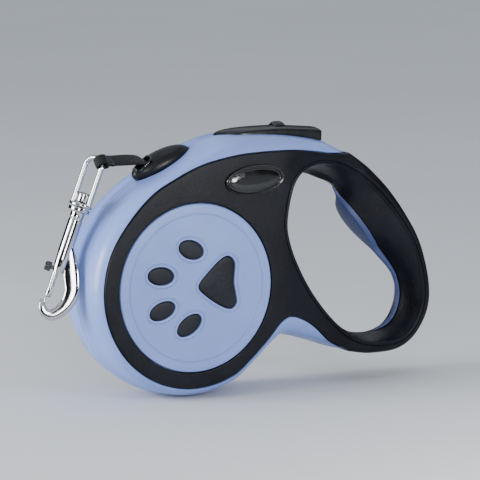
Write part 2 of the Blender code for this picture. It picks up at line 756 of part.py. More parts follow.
def screw(place, head_y, tip_y):
    return turned([
        (SCREW_HEAD_RADIUS, head_y), (SCREW_HEAD_RADIUS, head_y - 0.8), (SCREW_RADIUS, head_y - 1.5),
        (SCREW_RADIUS, tip_y + 0.8), (0.4, tip_y),
    ], 12, place, closed=False)


def screw_bore(place, face_y, tip_y):
    return turned([
        (SCREW_HEAD_RADIUS + GAP, face_y + 2.0), (SCREW_HEAD_RADIUS + GAP, face_y - 2.4),
        (SCREW_RADIUS + GAP, face_y - 2.5), (SCREW_RADIUS + GAP, tip_y - 0.5),
    ], 12, place, closed=False)


def merged(parts):
    """Several closed bodies in one mesh, for a cutter or for bodies that a Boolean joins."""
    whole = bmesh.new()
    for part in parts:
        bmesh.ops.recalc_face_normals(part, faces=part.faces)
        mesh = bpy.data.meshes.new("step")
        part.to_mesh(mesh)
        part.free()
        whole.from_mesh(mesh)
        bpy.data.meshes.remove(mesh)
    return whole


def cutter(name, bm, parent):
    return node(name, bm, None, parent=parent, cutter=True)


def make_case(frame, blue, black, soft, gloss):
    shells, covers = {}, {}
    for side in ("front", "back"):
        pieces = [("case_shell", shell, blue, ()), ("case_cover", case_cover, black, ()),
                  ("disc_cover", disc_cover, blue, (side == "back",)),
                  ("paw_plate", paw_plate, black, (side == "back",)), ("badge", badge, gloss, ())]
        for name, maker, finish, options in pieces:
            bm = bmesh.new()
            maker(bm, *options)
            if side == "front":
                bm = mirrored(bm)
            made = node(f"{name}_{side}", bm, finish, parent=frame)
            if maker is shell:
                shells[side] = made
            if maker is case_cover:
                covers[side] = made

    bm = bmesh.new()
    grip_insert(bm)
    node("grip_insert", bm, soft, parent=frame)
    return shells, covers


def make_screws(frame, shells, covers, steel):
    turns = [math.radians(a) for a in RING_SCREW_ANGLES]
    ring_places = [(RING_SCREW_RADIUS * math.cos(a), RING_SCREW_RADIUS * math.sin(a)) for a in turns]
    post = [(2.4, -SHELL_FACE + 0.6), (2.4, SHELL_FACE - SHELL_WALL - GAP)]
    bosses = merged([turned(post, 12, place, closed=False) for place in ring_places])
    bosses = cutter("screw_bosses", bosses, frame)
    ring_bores = merged([screw_bore(place, COVER_FACE, -6.0) for place in ring_places])
    ring_bores = cutter("ring_screw_bores", ring_bores, frame)
    handle_bores = merged([screw_bore(p, HANDLE_HEIGHT, -7.0) for p in HANDLE_SCREWS])
    handle_bores = cutter("handle_screw_bores", handle_bores, frame)
    boolean(shells["front"], bosses, "UNION")
    boolean(shells["front"], ring_bores)
    boolean(shells["back"], ring_bores)
    boolean(covers["back"], ring_bores)
    boolean(covers["back"], handle_bores)
    boolean(covers["front"], handle_bores)
    for k, place in enumerate(ring_places):
        node(f"ring_screw_{k + 1}", screw(place, COVER_FACE - 0.5, -5.0), steel, parent=frame)
    for k, place in enumerate(HANDLE_SCREWS):
        node(f"handle_screw_{k + 1}", screw(place, HANDLE_HEIGHT - 0.6, -6.0), steel, parent=frame)


def make_mouth(frame, shells, gloss):
    """The black oval nozzle set in the casing's top, with the slot that the tape runs through."""
    centre, tilt = Vector((-8.6, 0.0, 55.4)), 22.0
    pocket = cutter("mouth_pocket", ellipsoid(centre, (15.6, 6.8, 6.0), tilt), frame)
    for side in shells.values():
        boolean(side, pocket)
    mouth = node("tape_mouth", ellipsoid(centre, (15.2, 6.4, 5.6), tilt), gloss, parent=frame)
    start, along = roll_tangent()
    turn = Matrix.Translation(MOUTH) @ Matrix.Rotation(math.atan2(along.z, -along.x), 4, "Y")
    slot = cutter("tape_slot", box((-20.0, -4.6, -1.2), (32.0, 4.6, 1.2), turn), frame)
    boolean(mouth, slot)
    return mouth


def make_reel(frame, black, steel, tape):
    profile = [(ARBOR_RADIUS - 0.8, -12.8), (ARBOR_RADIUS, -12.0), (ARBOR_RADIUS, 12.8)]
    node("arbor", turned(profile, 16, closed=False), steel, parent=frame)
    axis = empty("reel_axis", (0, 0, 0), frame)
    node("reel_drum", reel_drum(), black, parent=axis)
    works = (("ratchet_flange", ratchet_flange, black), ("power_spring", power_spring, steel))
    for name, maker, finish in works:
        bm = bmesh.new()
        maker(bm)
        node(name, bm, finish, parent=axis)
    bore = ARBOR_RADIUS + GAP
    lid = turned([(bore, 10.9), (31.0, 10.9), (31.0, 11.9), (bore, 11.9)], 32)
    node("spring_cover", lid, black, parent=axis)
    half = TAPE_WIDTH / 2
    node("tape_roll", turned([(HUB_RADIUS + GAP, -half), (ROLL_RADIUS, -half), (ROLL_RADIUS, half),
                              (HUB_RADIUS + GAP, half)], 30), tape, parent=axis)


def make_brake(frame, shells, black, steel):
    bm = bmesh.new()
    button_pocket(bm)
    pocket = cutter("button_pocket", bm, frame)
    for side in shells.values():
        boolean(side, pocket)
    bm = bmesh.new()
    brake_button(bm)
    button = node("brake_button", bm, black, BUTTON_PIVOT, frame)
    lug = box((23.2, -2.5, 60.9), (26.8, 2.5, 66.0))
    stem = box((44.6, -7.4, 57.7), (47.0, -5.6, 66.0))
    boolean(button, cutter("button_legs", merged([lug, stem]), frame), "UNION")
    place = (BUTTON_PIVOT.x, BUTTON_PIVOT.z)
    bore = turned([(PIN_RADIUS + GAP, -9.0), (PIN_RADIUS + GAP, 9.0)], 12, place, closed=False)
    boolean(button, cutter("button_bore", bore, frame))
    for name, point in (("button_pin", BUTTON_PIVOT), ("pawl_pin", PAWL_PIVOT)):
        profile = [(PIN_RADIUS, -PIN_LENGTH / 2), (PIN_RADIUS, PIN_LENGTH / 2)]
        node(name, turned(profile, 10, (point.x, point.z), closed=False), steel, parent=frame)

    radius = PIN_RADIUS + 0.7
    path = [BUTTON_PIVOT + Vector((7.0, 2.95, -radius))]
    for k in range(26):
        a = 2 * math.pi * k / 10
        path.append(BUTTON_PIVOT + Vector((-radius * math.sin(a), 3.0 + 0.065 * k, -radius * math.cos(a))))
    path.append(BUTTON_PIVOT + Vector((7.5, 4.7, 0.9)))
    bm = bmesh.new()
    sweep(bm, tube(path, 0.25, 5))
    node("button_spring", bm, steel, parent=frame)

    bm = bmesh.new()
    brake_pawl(bm)
    node("brake_pawl", bm, steel, PAWL_PIVOT, frame)
    node("lock_slider", lock_slider(), black, parent=frame)


def make_line(frame, tape):
    route, tilts = tape_stations()
    half = TAPE_WIDTH / 2
    bm = bmesh.new()
    ribbon(bm, route, tilts, [half] * 8 + [half - 0.3, half - 0.6], TAPE_THICKNESS)
    node("tape_lead", bm, tape, parent=frame)

    down, side, _ = snap_frame(EYE_TURN)
    shoulder = EYE_TOP + down * (EYE_BEND * (1 - math.sqrt(0.5))) + side * (EYE_BEND * math.sqrt(0.5))
    axis = (side + down).normalized()
    fold = node("tape_loop", washer(shoulder - axis * 2.4, axis, 2.3, 3.1, 4.8, 16), tape, NECK, frame)
    bm = bmesh.new()
    toward_neck = (NECK - shoulder).normalized()
    ends = [shoulder + toward_neck * 2.7, NECK + (shoulder - NECK).normalized() * 0.5]
    ribbon(bm, ends, [math.radians(48), math.radians(34)], [2.3, 3.3], 2 * TAPE_THICKNESS)
    boolean(fold, cutter("fold_tongue", bm, frame), "UNION")


def make_snap(frame, chrome, steel):
    down, side, normal = snap_frame(SNAP_TURN)
    eye = node("swivel_eye", swivel_eye(), chrome, EYE_TOP, frame, smooth=60)
    plate = washer(EYE_TOP + down * 21.6, down, 1.9, 5.3, 1.6, 16)
    boolean(eye, cutter("eye_plate", plate, frame), "UNION")

    turned_body = [(16.6, 2.0), (17.2, 2.7), (20.9, 2.7), (20.9, 1.5), (23.6, 1.5), (23.6, 4.9), (25.4, 4.9),
                   (26.0, BARREL_RADIUS), (48.0, BARREL_RADIUS), (54.0, 2.7)]
    body = along_snap(turned_body, 0.0, SNAP_TURN, 14)
    hook = node("snap_hook", body, chrome, EYE_TOP, frame, smooth=50)
    boolean(hook, cutter("hook_bow", hook_bow(), frame), "UNION")
    bore = along_snap([(30.0, BOLT_RADIUS + GAP), (57.0, BOLT_RADIUS + GAP)], BOLT_SIDE, SNAP_TURN, 10)
    slot = bmesh.new()
    corners = ((-6.0, -1.3), (BOLT_SIDE, -1.3), (BOLT_SIDE, 1.3), (-6.0, 1.3))
    sweep(slot, [[on_snap(a, way, SNAP_TURN, b) for a, b in corners] for way in (44.6, 57.0)])
    boolean(hook, cutter("bolt_bore", bore, frame))
    boolean(hook, cutter("knob_slot", slot, frame))

    tail = 30.5 + BOLT_TRAVEL
    bolt = along_snap([(tail, 0.45), (44.4, 0.45), (44.4, BOLT_RADIUS), (66.0, BOLT_RADIUS)],
                      BOLT_SIDE, SNAP_TURN, 10)
    bolt = node("snap_bolt", bolt, chrome, EYE_TOP, frame, smooth=50)
    knob_way = 52.6
    path = [on_snap(across, knob_way, SNAP_TURN) for across in (BOLT_SIDE - 0.4, -3.6, -3.8, -6.2, -6.6)]
    bm = bmesh.new()
    sweep(bm, tube(path, [0.9, 0.9, 2.1, 2.1, 1.6], 12))
    boolean(bolt, cutter("bolt_knob", bm, frame), "UNION")

    turns, path = 6, []
    for k in range(turns * 8 + 1):
        a = 2 * math.pi * k / 8
        path.append(on_snap(BOLT_SIDE + 1.15 * math.cos(a), 30.6 + 7.0 * k / (turns * 8), SNAP_TURN,
                            1.15 * math.sin(a)))
    bm = bmesh.new()
    sweep(bm, tube(path, 0.25, 4))
    node("bolt_spring", bm, steel, parent=frame)


def build():
    clear()
    blue = material("casing_blue", (0.38, 0.46, 0.66), 0.38)
    black = material("side_black", (0.03, 0.03, 0.035), 0.55)
    soft = material("grip_blue", (0.30, 0.37, 0.55), 0.6)
    gloss = material("gloss_black", (0.015, 0.015, 0.018), 0.2)
    tape = material("tape_black", (0.02, 0.02, 0.022), 0.8)
    steel = material("spring_steel", (0.5, 0.5, 0.52), 0.35, 1.0)
    chrome = material("chrome", (0.85, 0.85, 0.87), 0.1, 1.0)
    frame = empty("frame", -GRIP)
    shells, covers = make_case(frame, blue, black, soft, gloss)
    make_screws(frame, shells, covers, steel)
    make_mouth(frame, shells, gloss)
    make_reel(frame, black, steel, tape)
    make_brake(frame, shells, black, steel)
    make_line(frame, tape)
    make_snap(frame, chrome, steel)


build()
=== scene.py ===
"""Looks of the retractable dog leash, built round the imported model.

Shapes are drawn in millimetres about the reel's axis, as the leash is held: X towards the handle, Y through
the thickness, Z up. mesh_of() puts them into the frame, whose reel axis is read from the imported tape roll.
"""

import math

import bmesh
import bpy
from mathutils import Matrix, Vector, geometry


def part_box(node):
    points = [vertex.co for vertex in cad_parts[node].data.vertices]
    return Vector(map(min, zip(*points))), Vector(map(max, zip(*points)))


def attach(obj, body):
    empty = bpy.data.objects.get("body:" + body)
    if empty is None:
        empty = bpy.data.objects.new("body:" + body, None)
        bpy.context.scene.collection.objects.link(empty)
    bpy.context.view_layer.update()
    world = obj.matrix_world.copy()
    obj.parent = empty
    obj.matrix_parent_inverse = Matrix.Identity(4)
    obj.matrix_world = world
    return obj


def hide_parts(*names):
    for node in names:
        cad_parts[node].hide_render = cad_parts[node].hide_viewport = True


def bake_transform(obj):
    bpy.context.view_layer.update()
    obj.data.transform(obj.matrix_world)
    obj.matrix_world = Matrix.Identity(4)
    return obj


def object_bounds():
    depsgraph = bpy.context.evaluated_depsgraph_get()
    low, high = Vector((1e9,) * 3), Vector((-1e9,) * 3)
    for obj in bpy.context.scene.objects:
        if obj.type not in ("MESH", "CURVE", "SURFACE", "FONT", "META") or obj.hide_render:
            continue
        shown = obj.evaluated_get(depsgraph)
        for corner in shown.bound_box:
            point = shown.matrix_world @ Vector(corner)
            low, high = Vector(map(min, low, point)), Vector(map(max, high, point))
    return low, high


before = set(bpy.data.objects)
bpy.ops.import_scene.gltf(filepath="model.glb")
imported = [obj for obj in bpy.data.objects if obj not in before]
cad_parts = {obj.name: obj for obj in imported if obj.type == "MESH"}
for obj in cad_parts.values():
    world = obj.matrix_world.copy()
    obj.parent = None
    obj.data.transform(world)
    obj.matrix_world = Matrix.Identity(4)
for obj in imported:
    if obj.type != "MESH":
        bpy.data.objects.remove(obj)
CAD_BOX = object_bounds()
ROLL_LOW, ROLL_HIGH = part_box("tape_roll")
AXIS = (ROLL_LOW + ROLL_HIGH) / 2
MM = 0.001
WELD = 1e-4

# Casing and covers, heights from the parting plane
PART = 0.12
NOSE_RADIUS = 51.0
RING_RADIUS = 46.3
COVER_FACE = 18.5
COVER_THICKNESS = 2.9
COVER_GAP = 0.4
HANDLE_HEIGHT = 12.5
INSERT_HEIGHT = 8.0
INSERT_LINE = 1.6
BUMP_HEIGHT, BUMP_REACH = 20.5, 13.0
SHELL_FACE = COVER_FACE - COVER_THICKNESS - COVER_GAP
SHELL_WALL = 2.0
DISC_RADIUS = 38.3
DISC_PROUD = 0.2
FIELD_RADIUS = 33.7  # of the groove round the disc's field
GAP = 0.3

# Tape and snap
MOUTH = Vector((-15.9, 0.0, 56.0))
NECK = Vector((-34.6, -2.0, 57.9))
EYE_TOP = Vector((-40.6, 0.0, 59.5))
TAPE_WIDTH = 8.0
TAPE_THICKNESS = 0.8
SNAP_TILT = math.radians(21.2)
SNAP_TURN = math.radians(30.0)
EYE_TURN = math.radians(60.0)
EYE_WIRE = 1.2
EYE_BEND = 4.3
EYE_LENGTH = 22.6
SLEEVE_RADIUS = 2.7
PLY = 0.4
BARREL_RADIUS = 3.2
BOLT_RADIUS = 1.4
BOLT_SIDE = -1.0
KNOB_WAY = 52.6
KNURLS = 18


# Mesh helpers

def linked(name, data):
    made = bpy.data.objects.new(name, data)
    bpy.context.scene.collection.objects.link(made)
    return made


def mesh_of(name, bm):
    """A mesh in metres, in the frame, from a bmesh drawn in millimetres about the reel's axis."""
    bmesh.ops.remove_doubles(bm, verts=bm.verts, dist=WELD)
    bmesh.ops.recalc_face_normals(bm, faces=bm.faces)
    bmesh.ops.scale(bm, verts=bm.verts, vec=(MM, MM, MM))
    bmesh.ops.translate(bm, verts=bm.verts, vec=AXIS)
    mesh = bpy.data.meshes.new(name)
    bm.to_mesh(mesh)
    bm.free()
    return mesh


def smoothed(mesh, sharp):
    """Smooth shading, but for edges sharper than an angle in degrees."""
    mesh.shade_smooth()
    mesh.set_sharp_from_angle(angle=math.radians(sharp))


def piece(name, bm, finish, body, stands_for=(), sharp=38, weighted=False):
    """A finished object from a bmesh, with the body that it rides and the CAD nodes that it replaces."""
    mesh = mesh_of(name, bm)
    smoothed(mesh, sharp)
    mesh.materials.append(finish)
    made = linked(name, mesh)
    if weighted:
        normals = made.modifiers.new("normals", "WEIGHTED_NORMAL")
        normals.keep_sharp = True
    if body:
        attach(made, body)
    if stands_for:
        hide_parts(*stands_for)
    return made


def through(points, steps):
    """Points along an open Catmull-Rom curve; each may hold more than two values."""
    ends = [points[0], *points, points[-1]]
    made = []
    for spans in zip(ends, ends[1:], ends[2:], ends[3:]):
        for k in range(steps):
            t = k / steps
            weights = (
                (-t + 2 * t**2 - t**3) / 2,
                (2 - 5 * t**2 + 3 * t**3) / 2,
                (t + 4 * t**2 - 3 * t**3) / 2,
                (t**3 - t**2) / 2,
            )
            made.append(tuple(sum(w * v for w, v in zip(weights, values)) for values in zip(*spans)))
    return made + [tuple(float(v) for v in points[-1])]


def loop_through(points, steps):
    around = through([points[-1], *points, points[0], points[1]], steps)
    return around[steps : steps * (len(points) + 1)]


def cosd(angle):
    return math.cos(math.radians(angle))


def sind(angle):
    return math.sin(math.radians(angle))


def turns(count):
    """Equal steps round a full turn."""
    return [2 * math.pi * k / count for k in range(count)]


def circle(radius, count, centre=(0.0, 0.0)):
    x, z = centre
    turn = 2 * math.pi / count
    return [(x + radius * math.cos(k * turn), z + radius * math.sin(k * turn)) for k in range(count)]


def oval(centre, half_length, half_width, tilt, count):
    c, s = cosd(tilt), sind(tilt)
    return [(centre[0] + x * half_length * c - z * half_width * s,
             centre[1] + x * half_length * s + z * half_width * c) for x, z in circle(1.0, count)]


def toward(a, b, share):
    return tuple(p + (q - p) * share for p, q in zip(a, b))


def offset(points, distances, closed=True):
    """Each point moved outwards, the outline running anticlockwise seen from the front."""
    count = len(points)
    distances = distances if isinstance(distances, list) else [distances] * count
    made = []
    for k, point in enumerate(points):
        before = next(points[(k - n) % count] for n in (1, 2) if points[(k - n) % count] != point)
        after = next(points[(k + n) % count] for n in (1, 2) if points[(k + n) % count] != point)
        if not closed:
            before = before if k else point
            after = after if k < count - 1 else point
        along = Vector((after[0] - before[0], after[1] - before[1])).normalized()
        made.append((point[0] + along.y * distances[k], point[1] - along.x * distances[k]))
    return made


def ring(bm, points, height):
    heights = height if isinstance(height, (list, tuple)) else [height] * len(points)
    return [bm.verts.new((p[0], y, p[1])) for p, y in zip(points, heights)]


def bridge(bm, first, second):
    for k in range(len(first)):
        n = (k + 1) % len(first)
        bm.faces.new((first[k], first[n], second[n], second[k]))


def stack(bm, steps):
    """Rings of equal counts, given as (points, height), joined one to the next; returns the rings."""
    rings = [ring(bm, points, height) for points, height in steps]
    for first, second in zip(rings, rings[1:]):
        bridge(bm, first, second)
    return rings


def inside(point, loop):
    odd = False
    for (ax, az), (bx, bz) in zip(loop, loop[1:] + loop[:1]):
        if (az > point.y) != (bz > point.y) and point.x < (bx - ax) * (point.y - az) / (bz - az) + ax:
            odd = not odd
    return odd


def between(point, loops):
    """Whether a point lies inside an outer loop and outside its holes."""
    return sum(inside(point, loop) for loop in loops) == 1


def fill(bm, loops, height, extra=()):
    """A sheet between an outer loop and its holes; height is a number or a function of x and z."""
    points, edges = [], []
    for loop in loops:
        base = len(points)
        points += [Vector((p[0], p[1])) for p in loop]
        edges += [(base + k, base + (k + 1) % len(loop)) for k in range(len(loop))]
    found = geometry.delaunay_2d_cdt(points + [Vector(p) for p in extra], edges, [], 0, 1e-6)
    level = height if callable(height) else lambda x, z: height
    verts = [bm.verts.new((p.x, level(p.x, p.y), p.y)) for p in found[0]]
    for face in found[2]:
        middle = sum((found[0][i] for i in face), Vector((0, 0))) / len(face)
        if between(middle, loops):
            bm.faces.new([verts[i] for i in face])


def grid_inside(loops, step, low, high, margin):
    """A staggered grid of points between an outer loop and its holes."""
    made = []
    for i in range(int((high[0] - low[0]) / step) + 1):
        for j in range(int((high[1] - low[1]) / step) + 1):
            point = Vector((low[0] + step * i, low[1] + step * (j + 0.5 * (i % 2))))
            if not between(point, loops):
                continue
            if min((p[0] - point.x) ** 2 + (p[1] - point.y) ** 2 for loop in loops for p in loop) > margin**2:
                made.append(point)
    return made


def sweep(bm, stations, close=False):
    """A skin over closed sections of equal counts, capped at both ends or joined into a ring."""
    rings = [[bm.verts.new(p) for p in section] for section in stations]
    for first, second in zip(rings, rings[1:]):
        bridge(bm, first, second)
    if close:
        bridge(bm, rings[-1], rings[0])
    else:
        bm.faces.new(rings[0])
        bm.faces.new(rings[-1])
    return bm


def heading(path, k):
    """The direction of a path at one of its points."""
    return (path[min(k + 1, len(path) - 1)] - path[max(k - 1, 0)]).normalized()


def tube(path, radius, sides):
    """Round sections along a path; radius is a number or one for each point."""
    stations, side = [], None
    for k, point in enumerate(path):
        along = heading(path, k)
        side = along.orthogonal() if side is None else side - along * side.dot(along)
        side.normalize()
        other = along.cross(side)
        r = radius[k] if isinstance(radius, list) else radius
        stations.append([point + r * (math.cos(a) * side + math.sin(a) * other) for a in turns(sides)])
    return stations


def mirrored(bm):
    bmesh.ops.scale(bm, verts=bm.verts, vec=(1, -1, 1))
    bmesh.ops.reverse_faces(bm, faces=bm.faces)


def carve(target, cutters, operation="DIFFERENCE"):
    """Booleans applied at once, from bmeshes drawn in millimetres."""
    for bm in cutters:
        cutter = linked("cutter", mesh_of("cutter", bm))
        cut = target.modifiers.new("cut", "BOOLEAN")
        cut.object = cutter
        cut.operation = operation
        cut.solver = "EXACT"
        evaluated = target.evaluated_get(bpy.context.evaluated_depsgraph_get())
        carved = bpy.data.meshes.new_from_object(evaluated)
        target.modifiers.clear()
        target.data = carved
        bpy.data.objects.remove(cutter)
        smoothed(carved, 38)


def box(low, high, turn=None):
    bm = bmesh.new()
    bmesh.ops.create_cube(bm, size=1.0)
    bmesh.ops.scale(bm, verts=bm.verts, vec=Vector(high) - Vector(low))
    bmesh.ops.translate(bm, verts=bm.verts, vec=(Vector(high) + Vector(low)) / 2)
    if turn is not None:
        bmesh.ops.transform(bm, matrix=turn, verts=bm.verts)
    return bm


def capped(bm, steps):
    rings = stack(bm, steps)
    bm.faces.new(rings[0])
    bm.faces.new(rings[-1])
    return bm


def turned(profile, segments, axis_point=(0.0, 0.0)):
    """A solid turned about Y from (radius, height) points, with a flat cap at each end."""
    return capped(bmesh.new(), [(circle(radius, segments, axis_point), height) for radius, height in profile])


def smoothstep(t):
    t = min(1.0, max(0.0, t))
    return t * t * (3 - 2 * t)


# Finishes, with the scales of their colour clouds
PLASTIC_CLOUDS = 45.0
METAL_CLOUDS = 60.0


class Tree:
    """The node tree of a material or world. Each method but feed() returns an output socket."""

    def __init__(self, owner, shader="Principled BSDF", place="Object"):
        owner.use_nodes = True
        self.nodes, self.links = owner.node_tree.nodes, owner.node_tree.links
        self.shader = self.nodes[shader]
        self.place = self.add("TexCoord", {}, place)

    def feed(self, node, values):
        """Links each input to the socket given for it, or sets it to the constant given."""
        for name, value in values.items():
            if isinstance(value, bpy.types.NodeSocket):
                self.links.new(value, node.inputs[name])
            else:
                node.inputs[name].default_value = value

    def add(self, kind, values, output, **settings):
        made = self.nodes.new("ShaderNode" + kind)
        for name, value in settings.items():
            setattr(made, name, value)
        self.feed(made, values)
        return made.outputs[output]

    def noise(self, scale, detail=3.0, roughness=0.55, place=None):
        values = {"Scale": scale, "Detail": detail, "Roughness": roughness, "Vector": place or self.place}
        return self.add("TexNoise", values, "Fac")

    def ranged(self, value, low, high, out_low, out_high):
        values = {"Value": value, "From Min": low, "From Max": high, "To Min": out_low, "To Max": out_high}
        return self.add("MapRange", values, "Result")

    def mixed(self, share, first, second):
        values = {"Factor": share, "A": (*first, 1.0), "B": (*second, 1.0)}
        return self.add("Mix", values, "Result", data_type="RGBA")

    def worked(self, operation, first, second):
        return self.add("Math", {0: first, 1: second}, "Value", operation=operation)

    def bump(self, height, depth):
        """A bump whose height runs from 0 to depth, in millimetres."""
        return self.add("Bump", {"Height": height, "Distance": depth * MM}, "Normal")


def srgb(*levels):
    return tuple(((v / 255 + 0.055) / 1.055) ** 2.4 if v > 10 else v / 255 / 12.92 for v in levels)


def plastic(name, dark, light, rough, grain, depth, painted_glints=0.0, coat=0.0, specular=0.5):
    """Moulded plastic: slow colour clouds, lighter specks where the grain stands high that are painted
    glints, an eroded grain and roughness that follows it.

    grain is the size of one grain in millimetres, depth how deep it is."""
    made = bpy.data.materials.new(name)
    tree = Tree(made)
    fine = tree.noise(1 / (grain * MM), 2.0, 0.6)
    tint = tree.ranged(tree.noise(PLASTIC_CLOUDS, 4.0), 0.3, 0.7, 0.0, 1.0)
    # Painted glints: specks of lighter colour on the fine grain's high points, for the sparkle of the
    # textured black.
    if painted_glints:
        tint = tree.worked("ADD", tint, tree.ranged(fine, 0.55, 0.72, 0.0, painted_glints))
    gloss = tree.worked("ADD", tree.ranged(tree.noise(PLASTIC_CLOUDS * 3), 0.3, 0.7, *rough),
                        tree.ranged(fine, 0.3, 0.7, -0.04, 0.04))
    tree.feed(tree.shader, {
        "Base Color": tree.mixed(tint, srgb(*dark), srgb(*light)), "Roughness": gloss,
        "Normal": tree.bump(fine, depth), "Specular IOR Level": specular, "Coat Weight": coat,
        "Coat Roughness": 0.12,
    })
    return made


def metal(name, dark, light, rough, scratch=0.0015, stretch=(1.0, 1.0, 1.0)):
    """Plated or bare metal: faint clouds, fine hairlines stretched one way, handling haze in the gloss."""
    made = bpy.data.materials.new(name)
    tree = Tree(made)
    along = tree.add("Mapping", {"Scale": stretch, "Vector": tree.place}, "Vector")
    cloud = tree.ranged(tree.noise(METAL_CLOUDS), 0.3, 0.7, 0.0, 1.0)
    hair = tree.noise(1500.0, 3.0, 0.6, along)
    tree.feed(tree.shader, {
        "Base Color": tree.mixed(cloud, dark, light), "Metallic": 1.0, "Normal": tree.bump(hair, scratch),
        "Roughness": tree.ranged(tree.noise(METAL_CLOUDS * 5, 4.0), 0.3, 0.75, *rough),
    })
    return made


def webbing(name, dark, light, pitch=0.55):
    """Woven nylon: warp and weft as two crossed waves, broken up by noise, with a soft sheen; the colour
    darkens where the weave lies low, which is painted shade.
    """
    made = bpy.data.materials.new(name)
    tree = Tree(made)
    wave = {"Scale": 1 / (pitch * MM * 3.2), "Distortion": 0.6, "Detail": 1.0, "Vector": tree.place}
    warp, weft = (tree.add("TexWave", wave, "Fac", bands_direction=direction) for direction in ("X", "Y"))
    fuzz = tree.noise(2600.0, 4.0)
    height = tree.worked("ADD", tree.worked("MULTIPLY", warp, weft), tree.worked("MULTIPLY", fuzz, 0.4))
    # Painted shade: the base colour follows the weave's height, darker in its hollows, with random tone from
    # the fuzz.
    tree.feed(tree.shader, {
        "Base Color": tree.mixed(tree.ranged(height, 0.1, 1.1, 0.0, 1.0), srgb(*dark), srgb(*light)),
        "Roughness": tree.ranged(fuzz, 0.3, 0.7, 0.62, 0.85), "Normal": tree.bump(height, 0.12),
        "Sheen Weight": 0.08, "Sheen Roughness": 0.4, "Specular IOR Level": 0.3,
    })
    return made


BLUE = plastic("casing_blue", (124, 148, 214), (132, 156, 222), (0.30, 0.38), 0.30, 0.004)
DISC_BLUE = plastic("disc_blue", (128, 152, 216), (136, 160, 223), (0.36, 0.44), 0.28, 0.006)
# The side and pad blacks carry painted glints as light specks on their grain.
BLACK = plastic("side_black", (2, 3, 8), (20, 22, 31), (0.33, 0.42), 0.75, 0.09, painted_glints=1.6, specular=0.22)
PAD_BLACK = plastic("pad_black", (12, 14, 20), (34, 36, 45), (0.42, 0.52), 0.7, 0.06, painted_glints=1.4,
                    specular=0.25)
GRIP_BLUE = plastic("grip_blue", (54, 68, 114), (64, 78, 125), (0.5, 0.6), 0.4, 0.012)
GLOSS = plastic("gloss_black", (5, 6, 8), (12, 13, 16), (0.12, 0.2), 0.8, 0.002, coat=0.4)
BUTTON_BLACK = plastic("button_black", (6, 7, 9), (16, 17, 21), (0.26, 0.34), 0.5, 0.008, specular=0.35)
MOUTH_BLACK = plastic("mouth_black", (6, 7, 9), (16, 17, 21), (0.3, 0.4), 0.6, 0.02, specular=0.3)
INNER = plastic("inner_black", (38, 38, 40), (54, 54, 56), (0.45, 0.6), 0.6, 0.01)
TAPE = webbing("tape_black", (5, 5, 7), (26, 27, 32))
THREAD = webbing("thread_grey", (70, 70, 74), (120, 120, 126), pitch=0.25)
STEEL = metal("steel", (0.42, 0.42, 0.44), (0.56, 0.56, 0.58), (0.26, 0.42), stretch=(1.0, 1.0, 9.0))
CHROME = metal("chrome", (0.50, 0.50, 0.51), (0.60, 0.60, 0.61), (0.05, 0.13), scratch=0.0004)
DARK_CHROME = metal("dark_chrome", (0.06, 0.06, 0.07), (0.12, 0.12, 0.13), (0.12, 0.22), scratch=0.0006)


# Casing outline: silhouette x, z | edge of the side cover x, z | inner wall x, z | 1 where the shoulder shows

def nose_arc(first, last, count):
    radii = (NOSE_RADIUS, RING_RADIUS, NOSE_RADIUS - SHELL_WALL - 1)
    angles = [math.radians(first + (last - first) * k / (count - 1)) for k in range(count)]
    return [(*(r * f(a) for r in radii for f in (math.cos, math.sin)), 1.0) for a in angles]


UNDERSIDE = nose_arc(180, 296, 9) + [
    (32.5, -38, 28.5, -35.4, 29, -35, 1),
    (41.5, -30.4, 37.5, -27, 38, -27.5, 1),
    (47.5, -27.3, 45.2, -19, 44, -22, 1),
    (55, -28.4, 51.3, -17.7, 48.5, -18, 1),
    (65.8, -31.6, 61.5, -22.6, 51, -14.5, 1),
    (75.8, -35.2, 72, -31.5, 52.3, -11.5, 1),
    (84, -37.4, 82, -36.6, 53, -9, 0),
]
BACK_WALL = [(x, z, x, z, inner_x, inner_z, 0) for x, z, inner_x, inner_z in (
    (82, -33.6, 52.4, -7),
    (72, -24.2, 51, -4),
    (61, -11.2, 48.5, 0),
    (53.2, 0, 46, 6),
    (47.8, 12, 44, 14),
    (44.8, 27, 42.2, 27),
    (46.4, 42, 43.6, 43),
    (53, 50.6, 50, 53),
    (64, 54.6, 58, 56.8),
    (75, 54.4, 64, 58),
)]
TOPSIDE = [
    (84, 55.6, 82, 56.2, 67, 59, 0),
    (77, 59.4, 72, 56.8, 66, 60, 1),
    (71, 62.2, 63, 58.3, 64, 61.5, 1),
    (62, 64.4, 52, 59.7, 58, 62.2, 1),
    (49, 66.4, 40, 60, 47, 63.6, 1),
    (34, 67.3, 24, 59.4, 34, 64.4, 1),
    (20, 66.6, 10, 57.3, 20.5, 63.6, 1),
    (5, 61.4, 0, 54.6, 6.5, 58.4, 1),
    (-9, 54.4, -11, 49.8, -7.6, 51.5, 1),
    (-24, 46, -21.5, 44, -22.4, 43.4, 1),
    (-36.5, 36, -32, 34, -34.2, 34, 1),
] + nose_arc(152, 180, 3)
HANDLE_BACK = [
    (84, -37.4), (96.9, -39.8), (110.5, -39.2), (120.5, -33.4), (127.6, -21.6),
    (128.6, -8), (123.8, 10.6), (116, 24.6), (106, 37.8), (95.6, 47.8), (84, 55.6),
]
